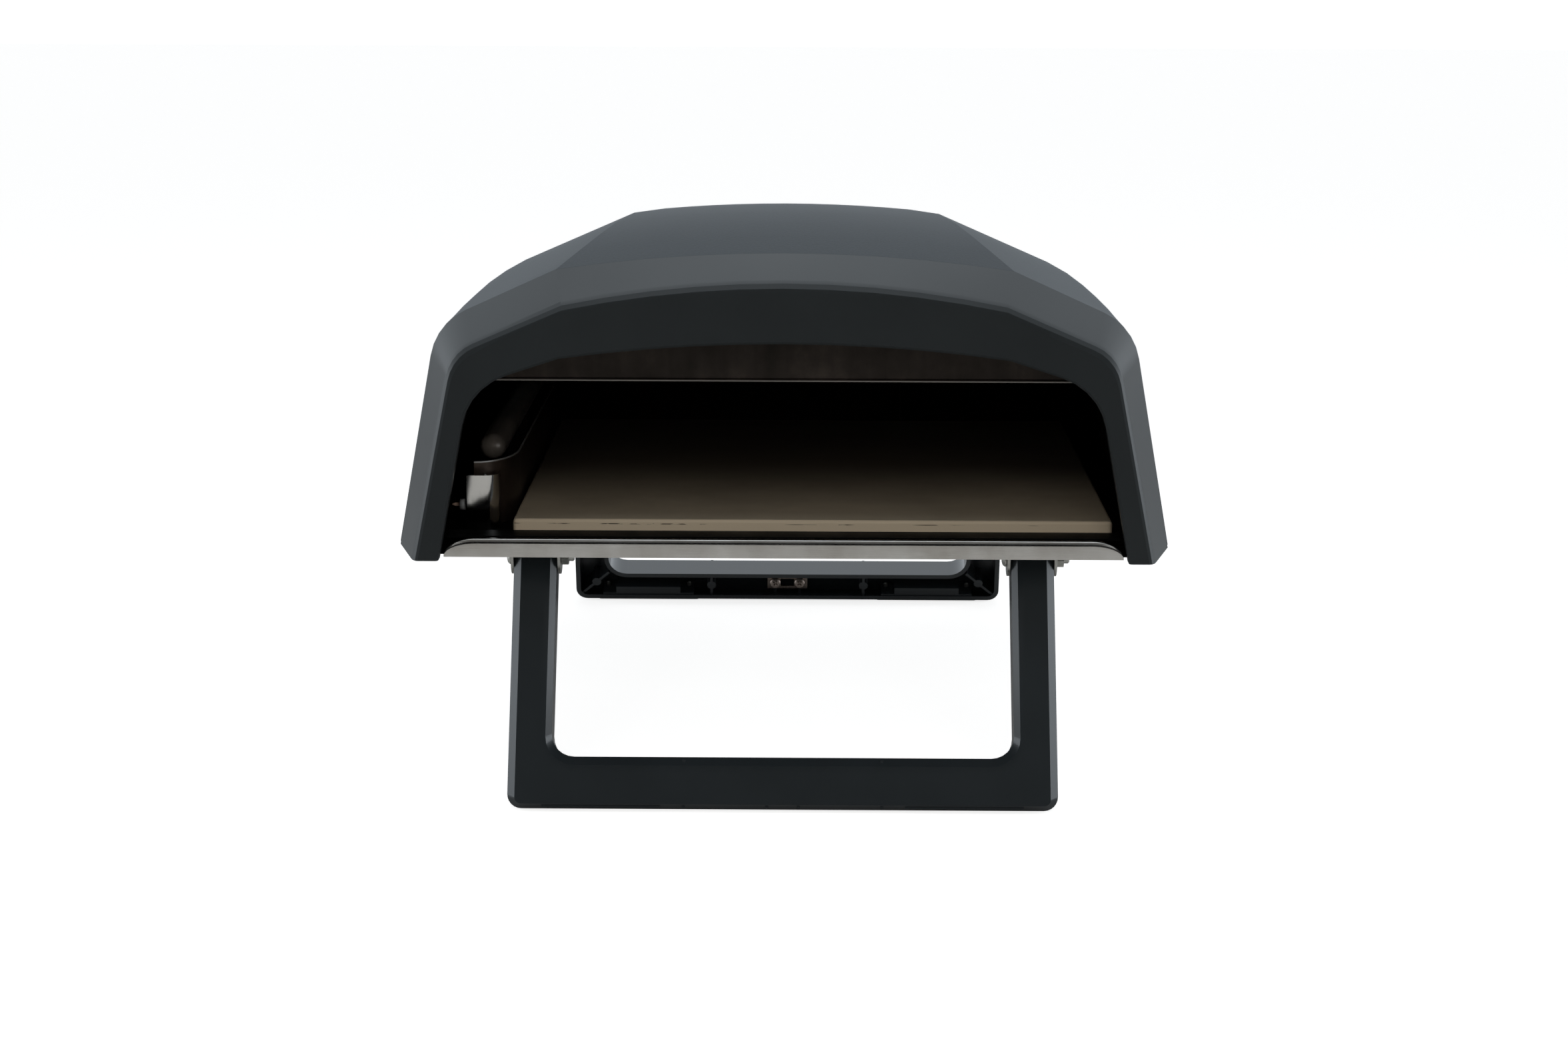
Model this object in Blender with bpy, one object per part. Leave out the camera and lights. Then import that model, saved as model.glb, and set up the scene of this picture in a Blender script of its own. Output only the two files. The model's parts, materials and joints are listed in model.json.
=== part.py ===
"""Portable gas pizza oven on two folding legs, in metres.

X runs across the mouth, Y from the mouth to the back, Z up. The origin lies on the ground, under the
middle of the oven. Hood heights are counted from the underside of the base pan.
"""

import math

import bmesh
import bpy
from mathutils import Matrix, Vector

# Clearances and overruns
seat_gap = 0.0003
pivot_gap = 0.0004
mouth_gap = 0.0015
overrun = 0.004

# Base and hood, outside
base_height = 0.1783
hood_half_width = 0.2681
mouth_reach = 0.3305
back_reach = 0.2745
shell_thickness = 0.0012
back_rounding = 0.030
hood_crown = 0.2028
hood_corner_rounding = 0.0431

# Shares of the hood's half width, crown and length, chosen by hand from the mouth to the back
hood_station_shares = (0.0, 0.08, 0.165, 0.26, 0.37, 0.50, 0.63, 0.76, 0.88, 1.0)
hood_crown_shares = (1.0, 1.034, 1.059, 1.073, 1.072, 1.046, 1.012, 0.966, 0.904, 0.826)
hood_crease_shares = (0.586, 0.535, 0.493, 0.458, 0.425, 0.352, 0.265, 0.195, 0.150, 0.130)
hood_corner_height_shares = (0.756, 0.752, 0.761, 0.774, 0.774, 0.752, 0.716, 0.669, 0.610, 0.540)
hood_rounding_shares = (1.0, 1.06, 1.24, 1.62, 2.04, 1.84, 1.50, 1.27, 1.22, 1.20)
hood_lean_share = 0.1807
hood_bulge_lean_share = 0.1895
crease_drop_share = 0.168

# Front visor
visor_depth = 0.055
visor_wall = 0.003
visor_flare = 0.0158
visor_crown_drop = 0.0146
visor_rear_drop = 0.002
visor_foot_drop = 0.0023
visor_face_width = 0.017
visor_face_height = 0.0406
visor_return = 0.012
visor_nose = 0.0075
visor_lip_rounding = 0.0015
ridge_crease_shares = (0.5914, 0.9156)
ridge_corner_shares = (0.8876, 0.7427)
ridge_rounding = 0.030
mouth_crease_shares = (0.6457, 0.9277)
mouth_corner_shares = (0.9041, 0.7922)
mouth_rounding = 0.0457

# Base pan, front lip and stone
pan_thickness = 0.0015
pan_wall_height = 0.0095
pan_rim_setback = 0.048
pan_flange_reach = 0.0195
pan_sill_setback = 0.0105
pan_sill_margin = 0.0346
lip_top = 0.0117
lip_drop = 0.001
lip_reach = 0.008
lip_depth = 0.005
lip_thickness = 0.0012
lip_margin = 0.0356
lip_end_length = 0.0215
lip_end_share = 0.93
lip_crease = 0.0025
stone_thickness = 0.0134
stone_setback = 0.060
stone_left_margin = 0.0781
stone_right_margin = 0.0381
stone_back_margin = 0.125
stone_rounding = 0.0025
stone_corner = 0.004

# Chamber
liner_thickness = 0.0012
liner_front_gap = 0.018
liner_rear_gap = 0.0125
liner_back_gap = 0.069
liner_front_setback = 0.014
liner_top_share = 0.60
liner_back_top_share = 0.50
roof_drop = 0.032
roof_back_drop = 0.026
roof_lap = 0.002
baffle_setback = 0.080
baffle_edge_height = 0.111
baffle_hem = 0.0018
baffle_hem_depth = 0.006

# Burner
burner_radius = 0.0094
burner_side_margin = 0.0561
burner_height = 0.051
burner_front_setback = 0.140
burner_back_gap = 0.0965
burner_bend = 0.030
burner_right_margin = 0.0781
venturi_radius = 0.0070
bracket_width = 0.016
bracket_thickness = 0.0015
saddle_wrap_share = 0.45
guard_thickness = 0.0012
guard_top = 0.0485
guard_side_margin = 0.0749
guard_start_margin = 0.0471
guard_front_setback = 0.100
guard_bend_run = 0.050
guard_back_margin = 0.1445
housing_left_margin = 0.0424
housing_right_margin = 0.0655
housing_front_setback = 0.086
housing_depth = 0.028
housing_top = 0.041
housing_rounding = 0.009
housing_thickness = 0.001
electrode_setback = 0.0945
electrode_height = 0.0185
electrode_length = 0.020
electrode_tip = 0.0055
electrode_tip_radius = 0.0013
electrode_nut = 0.0045
electrode_nut_radius = 0.004
electrode_radius = 0.0022
thermocouple_radius = 0.0015
thermocouple_rise = 0.0005
thermocouple_side_margin = 0.0557
thermocouple_setback = 0.0925

# Hinge brackets, bolts and nuts
front_pivot_margin = 0.072
rear_pivot_margin = 0.016
pivot_drop = 0.0145
post_width = 0.030
leg_side_margin = 0.0787
leg_depth = 0.028
ear_thickness = 0.002
ear_radius = 0.012
ear_root_share = 1.15
bracket_plate_thickness = 0.002
bracket_plate_reach = 0.018
bracket_plate_margin = 0.006
bracket_window = 0.0085
bolt_radius = 0.003
bolt_head_radius = 0.0055
bolt_head_height = 0.0032
bolt_tip = 0.004
nut_width = 0.010
nut_thickness = 0.005

# Folding legs
leg_lean = math.radians(22)
leg_flare = 0.0014
leg_wall = 0.004
leg_face_wall = 0.005
leg_bar_height = 0.0272
leg_outer_rounding = 0.010
leg_inner_rounding = 0.016
leg_chamfer_depth = 0.006
leg_edge_chamfer = 0.0055
leg_post_chamfer = 0.004
leg_bar_chamfer = 0.0065
leg_bottom_chamfer = 0.005
leg_ridge_drop = 0.0008
leg_ridge_width = 0.005
pocket_top = 0.017
rib_thickness = 0.0022
rib_setback = 0.002
boss_radius = 0.0041
bar_rib_share = 0.362
corner_boss_side = 0.0155
foot_centre_share = 0.664
foot_block_half = 0.029
foot_block_height = 0.012
foot_pad_half = 0.041
foot_pad_height = 0.0055
foot_recess_wall = 0.003
foot_recess_height = 0.006
foot_recess_depth = 0.010
foot_flange_half = 0.045
foot_flange_depth = 0.0125
foot_thickness = 0.0014
foot_setback = 0.0032
foot_plug_height = 0.005
foot_screw_side = 0.0366
foot_screw_radius = 0.0022
foot_screw_length = 0.0135
foot_screw_bury = 0.0006

# Catch between each folded leg and the base
strike_half_length = 0.018
strike_depth = 0.013
strike_thickness = 0.0015
strike_setback = 0.007
strike_window_half = 0.006
strike_window_depth = 0.008
strike_screw_side = 0.011
strike_boss_radius = 0.0046
strike_screw_radius = 0.0018
strike_screw_length = 0.009
strike_head_radius = 0.0049
strike_head_height = 0.0026
clip_half_width = 0.010
clip_side_gap = 0.0015
clip_thickness = 0.0012
clip_tongue_half = 0.004
clip_tongue_thickness = 0.0018
clip_tongue_reach = 0.0105
clip_bead = 0.0026

# Gas control at the back
control_side_margin = 0.1631
control_half_width = 0.045
control_depth = 0.030
control_bottom = 0.020
control_top = 0.080
control_thickness = 0.0015
control_rounding = 0.008
valve_width = 0.026
valve_height = 0.024
valve_length = 0.017
valve_wall_gap = 0.007
nose_shoulder_share = 0.25
nose_reach_share = 0.42
nose_end_share = 0.85
stem_radius = 0.003
stem_length = 0.021
stem_bury = 0.008
stem_flange_radius = 0.0046
stem_flange = 0.0015
knob_radius = 0.019
knob_depth = 0.0165
knob_wall = 0.0025
knob_top_share = 0.90
knob_grip_share = 0.17
knob_grip_depth = 0.0016
knob_gap = 0.0045
knob_travel = 0.003
bezel_width = 0.005
bezel_thickness = 0.0016
bezel_gap = 0.0012
inlet_hex_width = 0.017
inlet_hex_height = 0.007
inlet_thread_radius = 0.0065
inlet_thread_length = 0.012
inlet_bore_radius = 0.003
inlet_bore_depth = 0.014

# Counts
top_steps = 5
shoulder_steps = 2
corner_steps = 5
side_steps = 2
liner_side_steps = 4
grip_flutes = 10
round_steps = 24

# Places that follow from the sizes above
pan_sill_half_width = hood_half_width - pan_sill_margin
lip_half_width = hood_half_width - lip_margin
burner_side = hood_half_width - burner_side_margin
burner_right_reach = hood_half_width - burner_right_margin
guard_side = hood_half_width - guard_side_margin
guard_start = hood_half_width - guard_start_margin
guard_back_reach = back_reach - guard_back_margin
housing_left = hood_half_width - housing_left_margin
housing_right = hood_half_width - housing_right_margin
thermocouple_side = hood_half_width - thermocouple_side_margin
leg_half_width = hood_half_width - leg_side_margin
bar_rib_side = leg_half_width * bar_rib_share
foot_centre_side = leg_half_width * foot_centre_share
front_pivot_y = front_pivot_margin - mouth_reach
rear_pivot_y = back_reach - rear_pivot_margin
control_side = hood_half_width - control_side_margin
pivot_z = base_height - pivot_drop
mouth_y = -mouth_reach
hood_y = mouth_y + visor_depth + seat_gap
hood_length = back_reach - back_rounding - hood_y
pan_top = pan_thickness
floor_z = pan_top + seat_gap
stone_y = mouth_y + stone_setback
leg_bottom = foot_thickness + seat_gap
leg_drop = pivot_z - leg_bottom
liner_back_y = back_reach - liner_back_gap
burner_back_y = back_reach - burner_back_gap
control_z = (control_bottom + control_top) / 2
control_face_y = back_reach + control_depth
cutout_half = leg_half_width - post_width


def clear_scene():
    for obj in list(bpy.data.objects):
        bpy.data.objects.remove(obj, do_unlink=True)


def finish(name, colour, roughness, metallic=0.0):
    material = bpy.data.materials.new(name)
    material.use_nodes = True
    shader = material.node_tree.nodes["Principled BSDF"]
    shader.inputs["Base Color"].default_value = (*colour, 1.0)
    shader.inputs["Roughness"].default_value = roughness
    shader.inputs["Metallic"].default_value = metallic
    material.diffuse_color = (*colour, 1.0)
    return material


def place(name, mesh, material, parent=None, location=(0, 0, 0), rotation=(0, 0, 0)):
    """A named object of this mesh, placed in its parent's frame."""
    if material.name not in mesh.materials:
        mesh.materials.append(material)
    obj = bpy.data.objects.new(name, mesh)
    bpy.context.scene.collection.objects.link(obj)
    obj.parent = parent
    obj.location = location
    obj.rotation_euler = rotation
    return obj


def mesh_of(name, bm, angle=35):
    """The finished mesh, closed, facing out and shaded smooth up to this angle."""
    bmesh.ops.recalc_face_normals(bm, faces=bm.faces)
    mesh = bpy.data.meshes.new(name)
    bm.to_mesh(mesh)
    bm.free()
    mesh.shade_smooth()
    mesh.set_sharp_from_angle(angle=math.radians(angle))
    return mesh


def loft(name, loops, angle=35):
    """A closed solid through closed loops of equal count, capped at both ends."""
    bm = bmesh.new()
    rings = [[bm.verts.new(point) for point in loop] for loop in loops]
    for ring, following in zip(rings, rings[1:]):
        for k in range(len(ring)):
            after = (k + 1) % len(ring)
            bm.faces.new((ring[k], ring[after], following[after], following[k]))
    bm.faces.new(reversed(rings[0]))
    bm.faces.new(rings[-1])
    return mesh_of(name, bm, angle)


def sheet(name, rows, outward, close_end=False):
    """An open skin through rows of points, whose faces look the way of outward at the first face."""
    bm = bmesh.new()
    lines = [[bm.verts.new(point) for point in row] for row in rows]
    for line, following in zip(lines, lines[1:]):
        for k in range(len(line) - 1):
            bm.faces.new((line[k], line[k + 1], following[k + 1], following[k]))
    if close_end:
        bm.faces.new(lines[-1])
    bm.faces.ensure_lookup_table()
    bmesh.ops.recalc_face_normals(bm, faces=bm.faces)
    middle = bm.faces[(len(lines[0]) - 1) // 2]
    middle.normal_update()
    if middle.normal.dot(Vector(outward)) < 0:
        bmesh.ops.reverse_faces(bm, faces=bm.faces)
    mesh = bpy.data.meshes.new(name)
    bm.to_mesh(mesh)
    bm.free()
    mesh.shade_smooth()
    return mesh


def thicken(obj, thickness):
    """Gives a skin its wall, inwards from its outer face."""
    solidify = obj.modifiers.new("wall", "SOLIDIFY")
    solidify.thickness = thickness
    solidify.offset = -1
    solidify.use_even_offset = True
    return obj


def block(name, low, high):
    """A box between two corners."""
    bm = bmesh.new()
    bmesh.ops.create_cube(bm, size=1)
    size = Vector(high) - Vector(low)
    middle = (Vector(high) + Vector(low)) / 2
    bmesh.ops.scale(bm, vec=size, verts=bm.verts)
    bmesh.ops.translate(bm, vec=middle, verts=bm.verts)
    return mesh_of(name, bm)


def extrusion(name, outline, low, high, axis="Z"):
    """A flat outline drawn out along an axis; its two numbers are the other two axes in order."""
    order = {"X": lambda a, b, c: (c, a, b), "Y": lambda a, b, c: (a, c, b), "Z": lambda a, b, c: (a, b, c)}
    at = order[axis]
    return loft(name, [[at(p[0], p[1], level) for p in outline] for level in (low, high)])


def turned(name, profile, axis="Z", steps=round_steps, angle=35):
    """A solid turned from (radius, height) points, round the axis through the local origin."""
    order = {
        "X": lambda a, b, c: (c, a, b),
        "Y": lambda a, b, c: (a, c, b),
        "Z": lambda a, b, c: (a, b, c),
    }
    at = order[axis]
    loops = []
    for radius, height in profile:
        turns = [2 * math.pi * k / steps for k in range(steps)]
        loops.append([at(radius * math.cos(t), radius * math.sin(t), height) for t in turns])
    return loft(name, loops, angle)


def rounded_corner(before, corner, after, radius, steps):
    """Points of the arc that rounds a corner between two straight runs."""
    inward = (corner - before).normalized()
    onward = (after - corner).normalized()
    cross = inward.x * onward.y - inward.y * onward.x
    turn = math.atan2(cross, inward.dot(onward))
    reach = radius * math.tan(abs(turn) / 2)
    side = Vector((-inward.y, inward.x)) * (1 if turn > 0 else -1)
    start = corner - inward * reach
    centre = start + side * radius
    arm = start - centre
    return [centre + Matrix.Rotation(turn * k / steps, 2) @ arm for k in range(steps + 1)]


def rounded_outline(points, radii, steps=5):
    """A closed outline with each corner rounded by its own radius, or left sharp at zero."""
    points = [Vector(p) for p in points]
    outline = []
    for k, corner in enumerate(points):
        if not radii[k]:
            outline.append(corner)
            continue
        before = points[k - 1]
        after = points[(k + 1) % len(points)]
        outline += rounded_corner(before, corner, after, radii[k], steps)
    return outline


def swept(name, path, radii, steps=12, angle=50):
    """A round bar along a level path, whose radius may change from point to point."""
    up = Vector((0, 0, 1))
    loops = []
    for k, point in enumerate(path):
        ahead = path[min(k + 1, len(path) - 1)] - path[max(k - 1, 0)]
        across = ahead.normalized().cross(up)
        turns = [2 * math.pi * j / steps for j in range(steps)]
        loops.append([point + radii[k] * (across * math.cos(t) + up * math.sin(t)) for t in turns])
    return loft(name, loops, angle)


def band(outline, thickness):
    """A closed outline of a bent strip, from its middle line and thickness."""
    left = []
    right = []
    for k, point in enumerate(outline):
        run = outline[min(k + 1, len(outline) - 1)] - outline[max(k - 1, 0)]
        side = Vector((-run.y, run.x)).normalized() * thickness / 2
        left.append(point + side)
        right.append(point - side)
    return left + right[::-1]


def carve(obj, tools, operation="DIFFERENCE"):
    """Cuts, joins or intersects with tool meshes in the object's own frame, and keeps the result."""
    for tool in tools:
        helper = bpy.data.objects.new("tool", tool)
        bpy.context.scene.collection.objects.link(helper)
        helper.hide_render = True
        helper.display_type = "WIRE"
        helper.parent = obj
        cut = obj.modifiers.new("cut", "BOOLEAN")
        cut.operation = operation
        cut.object = helper
        bpy.context.view_layer.update()
        graph = bpy.context.evaluated_depsgraph_get()
        mesh = bpy.data.meshes.new_from_object(obj.evaluated_get(graph))
        obj.modifiers.clear()
        obj.data = mesh
        bpy.data.objects.remove(helper, do_unlink=True)
    return obj


def moved(mesh, offset, turn=None):
    """The mesh shifted, and turned first where a turn is given."""
    matrix = Matrix.Translation(Vector(offset))
    if turn:
        matrix = matrix @ turn
    mesh.transform(matrix)
    return mesh


def arch(half, foot, crown, crease, corner, rounding, y):
    """A hood arch from the left foot over the crown to the right foot, heights from the base pan."""
    crease_point = Vector(crease)
    corner_point = Vector(corner)
    foot_point = Vector((half, foot))
    sag = crown - crease_point.y
    side = []
    for k in range(top_steps):
        x = crease_point.x * k / top_steps
        side.append(Vector((x, crown - sag * (x / crease_point.x) ** 2)))
    arc = rounded_corner(crease_point, corner_point, foot_point, rounding, corner_steps)
    side += [crease_point.lerp(arc[0], k / shoulder_steps) for k in range(shoulder_steps)]
    side += arc
    side += [arc[-1].lerp(foot_point, (k + 1) / side_steps) for k in range(side_steps)]
    right = [Vector((p.x, y, p.y + base_height)) for p in side]
    left = [Vector((-p.x, p.y, p.z)) for p in right[:0:-1]]
    return left + right


def inset_arch(points, distance):
    """The same arch moved inwards by a distance, in its own upright plane."""
    moved_points = []
    for k, point in enumerate(points):
        before = points[max(k - 1, 0)]
        after = points[min(k + 1, len(points) - 1)]
        first = (point - before if k else after - point).normalized()
        second = (after - point if k < len(points) - 1 else point - before).normalized()
        run = (first + second).normalized()
        inward = Vector((run.z, 0, -run.x))
        stretch = max(first.dot(run), 0.5)
        moved_points.append(point + inward * distance / stretch)
    moved_points[0].z = points[0].z
    moved_points[-1].z = points[-1].z
    return moved_points


def between(first, second, share):
    return [a.lerp(b, share) for a, b in zip(first, second)]


def table_value(shares, place_share):
    """Reads a table of shares at a place from 0 to 1 along the hood."""
    stations = hood_station_shares
    for k in range(len(stations) - 1):
        if place_share <= stations[k + 1]:
            run = (place_share - stations[k]) / (stations[k + 1] - stations[k])
            return shares[k] + (shares[k + 1] - shares[k]) * run
    return shares[-1]


def hood_arch(share, y, foot=0.0):
    """The hood's outer arch at a share of its length."""
    crown = hood_crown * table_value(hood_crown_shares, share)
    crease_x = hood_half_width * table_value(hood_crease_shares, share)
    drop = hood_crown * crease_drop_share * (crease_x / hood_half_width) ** 2
    corner_z = hood_crown * table_value(hood_corner_height_shares, share)
    bulge = min(share / hood_station_shares[3], 1)
    lean = hood_lean_share + (hood_bulge_lean_share - hood_lean_share) * bulge
    corner = (hood_half_width - lean * corner_z, corner_z)
    rounding = hood_corner_rounding * table_value(hood_rounding_shares, share)
    return arch(hood_half_width, foot, crown, (crease_x, crown - drop), corner, rounding, y)


def hood_rows():
    """Outer arches of the hood from behind the visor to the flat of the back."""
    rows = [hood_arch(share, hood_y + hood_length * share) for share in hood_station_shares]
    last = rows[-1]
    for k in range(1, 5):
        turn = math.pi / 2 * k / 4
        row = inset_arch(last, back_rounding * (1 - math.cos(turn)))
        rows.append([point + Vector((0, back_rounding * math.sin(turn), 0)) for point in row])
    return rows


def build_outer_shell(paint):
    shell = place("outer_shell", sheet("outer_shell", hood_rows(), (0, 0, 1), close_end=True), paint)
    thicken(shell, shell_thickness)
    bpy.context.view_layer.update()
    hole = turned("venturi_way", [(venturi_radius + seat_gap, -overrun), (venturi_radius + seat_gap, overrun)], "Y")
    carve(shell, [moved(hole, (-control_side, back_reach, base_height + burner_height))])
    shell.data.shade_smooth()
    shell.data.set_sharp_from_angle(angle=math.radians(8))
    return shell


def share_point(shares, half, crown):
    return (half * shares[0], crown * shares[1])


def build_visor(paint):
    """The cast front frame: mouth return, front face, rounded nose, flared bevel and their inner wall."""
    rear = hood_arch(0.0, mouth_y + visor_depth, -visor_rear_drop)
    ridge_half = hood_half_width - visor_flare
    ridge_crown = hood_crown - visor_crown_drop
    ridge = arch(
        ridge_half,
        -visor_foot_drop,
        ridge_crown,
        share_point(ridge_crease_shares, ridge_half, ridge_crown),
        share_point(ridge_corner_shares, ridge_half, ridge_crown),
        ridge_rounding,
        mouth_y,
    )
    mouth = mouth_arch()
    back = Vector((0, 1, 0))
    outer_mouth = inset_arch(mouth, -visor_wall)
    nose_in = between(ridge, mouth, visor_nose / visor_face_height)
    nose_out = between(ridge, rear, visor_nose / visor_depth)
    nose = []
    for k in range(4):
        share = k / 3
        first = between(nose_in, ridge, share)
        second = between(ridge, nose_out, share)
        nose.append(between(first, second, share))
    rings = [
        [point + back * visor_return for point in mouth],
        [point + back * visor_lip_rounding for point in mouth],
        inset_arch(mouth, -visor_lip_rounding),
        *nose,
        rear,
        inset_arch(rear, visor_wall),
        [point + back * visor_wall for point in inset_arch(ridge, visor_wall)],
        [point + back * visor_wall for point in outer_mouth],
        [point + back * visor_return for point in outer_mouth],
    ]
    sections = [[ring[k] for ring in rings] for k in range(len(mouth))]
    return place("front_visor", loft("front_visor", sections, 12), paint)


def pan_outline(front, rear, half, rear_radius):
    points = [(-half, front), (half, front), (half, rear), (-half, rear)]
    return rounded_outline(points, (0, 0, rear_radius, rear_radius))


def pan_half_width():
    lean = max(hood_lean_share, hood_bulge_lean_share)
    wall = shell_thickness * math.hypot(1, lean)
    return hood_half_width - lean * pan_wall_height - wall - seat_gap


def build_base_pan(paint):
    half = pan_half_width()
    margin = hood_half_width - half
    rear = back_reach - margin
    radius = back_rounding - margin
    rim = mouth_y + pan_rim_setback
    step = mouth_y + visor_depth + visor_wall
    low = base_height
    top = low + pan_wall_height
    pan = place("base_pan", extrusion("base_pan", pan_outline(step, rear, half, radius), low, top), paint)
    sill_front = mouth_y + pan_sill_setback
    neck_low = (-pan_sill_half_width, rim, low)
    neck_high = (pan_sill_half_width, step + overrun, top)
    sill_high = (pan_sill_half_width - pan_thickness, rim + overrun, low + pan_thickness)
    sill_low = (-pan_sill_half_width + pan_thickness, sill_front, low)
    wing_half = hood_half_width - visor_flare - visor_wall - 2 * seat_gap
    wing_low = (-wing_half, mouth_y + visor_return + seat_gap, low)
    wing_high = (wing_half, step + overrun, low + pan_thickness)
    carve(pan, [block("wings", wing_low, wing_high), block("neck", neck_low, neck_high)], "UNION")
    flange_low = (-pan_sill_half_width + pan_thickness, rim - pan_flange_reach, top - pan_thickness)
    flange_high = (pan_sill_half_width - pan_thickness, rim + overrun, top)
    carve(pan, [block("sill", sill_low, sill_high), block("flange", flange_low, flange_high)], "UNION")
    wall = pan_thickness
    well = extrusion(
        "well",
        pan_outline(step - overrun, rear - wall, half - wall, radius - wall),
        low + wall,
        top + overrun,
    )
    neck_well = block(
        "neck_well",
        (-pan_sill_half_width + wall, rim + wall, low + wall),
        (pan_sill_half_width - wall, step + overrun, top + overrun),
    )
    return carve(pan, [well, neck_well])


def build_front_lip(steel):
    """A folded channel whose ends turn down to the sill."""
    front = mouth_y + lip_reach
    rear = front + lip_depth
    straight = lip_half_width - lip_end_length
    reach = straight + lip_end_length * lip_end_share
    bottom = base_height - lip_drop
    rest = base_height + pan_thickness + seat_gap
    height = lip_top + lip_drop
    xs = [-reach, -straight, straight, reach]
    for k in range(1, 6):
        step = straight + (reach - straight) * math.sin(math.pi / 2 * k / 6)
        xs += [-step, step]
    sections = []
    for x in sorted(xs):
        past = max(abs(x) - straight, 0) / lip_end_length
        share = math.sqrt(1 - past * past)
        top = bottom + height * share
        crease = lip_crease * share
        wall = lip_thickness
        heel = min(rest, top - wall - seat_gap)
        profile = [
            (front, bottom),
            (front, top - crease),
            (front + crease, top),
            (rear, top),
            (rear, heel),
            (rear - wall, heel),
            (rear - wall, top - wall),
            (front + crease, top - wall),
            (front + wall, top - crease),
            (front + wall, bottom),
        ]
        sections.append([(x, y, z) for y, z in profile])
    return place("front_lip", loft("front_lip", sections), steel)


def build_stone(stone):
    left = stone_left_margin - hood_half_width
    right = hood_half_width - stone_right_margin
    rear = back_reach - stone_back_margin
    points = [(left, stone_y), (right, stone_y), (right, rear), (left, rear)]
    outline = rounded_outline(points, [stone_corner] * 4, 3)
    low = base_height + floor_z
    slab = place("pizza_stone", extrusion("pizza_stone", outline, low, low + stone_thickness), stone)
    bevel = slab.modifiers.new("worn_edge", "BEVEL")
    bevel.width = stone_rounding
    bevel.segments = 3
    bevel.limit_method = "ANGLE"
    bevel.angle_limit = math.radians(60)
    return slab


def liner_half(height_share, share):
    """Half width of the chamber at a share of the hood crown's height."""
    bulge = min(share / hood_station_shares[3], 1)
    lean = hood_lean_share + (hood_bulge_lean_share - hood_lean_share) * bulge
    gap = liner_front_gap + (liner_rear_gap - liner_front_gap) * share
    return hood_half_width - lean * hood_crown * height_share - shell_thickness - gap


def liner_corners():
    """Foot and top places of the chamber's sides at the front and the back: half width, height, depth."""
    front = mouth_y + liner_front_setback
    foot = floor_z
    ends = ((0.0, front, liner_top_share), (1.0, liner_back_y, liner_back_top_share))
    corners = []
    for share, y, top_share in ends:
        low = Vector((liner_half(0, share), y, base_height + foot))
        high = Vector((liner_half(top_share, share), y, base_height + hood_crown * top_share))
        corners.append((low, high))
    return corners


def mouth_arch():
    ridge_half = hood_half_width - visor_flare
    ridge_crown = hood_crown - visor_crown_drop
    half = ridge_half - visor_face_width
    crown = ridge_crown - visor_face_height
    crease = share_point(mouth_crease_shares, half, crown)
    corner = share_point(mouth_corner_shares, half, crown)
    return arch(half, -visor_foot_drop, crown, crease, corner, mouth_rounding, mouth_y)


def mouth_wall():
    """Right half of the outline of the mouth's return, from the foot to the crown, with its margin."""
    points = inset_arch(mouth_arch(), -visor_wall - mouth_gap)
    return [point for point in points if point.x >= 0][::-1]


def mouth_side(height):
    """Half width past the mouth's return at a height above the base."""
    points = mouth_wall()
    for low, high in zip(points, points[1:]):
        if low.z - base_height <= height <= high.z - base_height:
            share = (height - low.z + base_height) / (high.z - low.z)
            return low.x + (high.x - low.x) * share
    return points[0].x


def mouth_top(x):
    """Height past the mouth's return, above the ground, at a distance from the middle."""
    points = mouth_wall()
    for low, high in zip(points, points[1:]):
        if high.x <= x <= low.x:
            return high.z + (low.z - high.z) * (x - high.x) / (low.x - high.x)
    return base_height


def build_chamber_sides(steel):
    """Side sheets whose front edges turn in to the mouth's return."""
    (front_low, front_high), (back_low, back_high) = liner_corners()
    rows = []
    for k in range(liner_side_steps + 1):
        share = k / liner_side_steps
        front = front_low.lerp(front_high, share)
        back = back_low.lerp(back_high, share)
        edge = Vector((mouth_side(front.z - base_height), front.y, front.z))
        rows.append([edge, front, back])
    for side, name in ((-1, "inner_side_left"), (1, "inner_side_right")):
        mirrored = [[Vector((side * p.x, p.y, p.z)) for p in row] for row in rows]
        thicken(place(name, sheet(name, mirrored, (0, -1, 0)), steel), liner_thickness)


def roof_row(high, drop_from, steps=10):
    """A shallow arch between the chamber's two top corners."""
    rise = drop_from - high.z
    row = []
    for k in range(steps + 1):
        x = high.x * (2 * k / steps - 1)
        row.append(Vector((x, high.y, high.z + rise * (1 - (x / high.x) ** 2))))
    return row


def roof_rows():
    (_, front_high), (_, back_high) = liner_corners()
    lift = Vector((0, 0, seat_gap + roof_lap))
    front_crown = base_height + hood_crown - roof_drop
    back_crown = base_height + hood_crown * hood_crown_shares[-1] - roof_back_drop
    return roof_row(front_high + lift, front_crown), roof_row(back_high + lift, back_crown)


def build_roof(steel):
    """The arched top sheet, whose front edge turns down to the mouth's return."""
    front, back = roof_rows()
    middle = [between(front, back, share) for share in (1 / 3, 2 / 3)]
    side_top = front[0].z - roof_lap
    flange = [Vector((p.x, p.y, max(mouth_top(abs(p.x)), side_top))) for p in front]
    roof = place("inner_roof", sheet("inner_roof", [flange, front, *middle, back], (0, -1, 0)), steel)
    return thicken(roof, liner_thickness)


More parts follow.
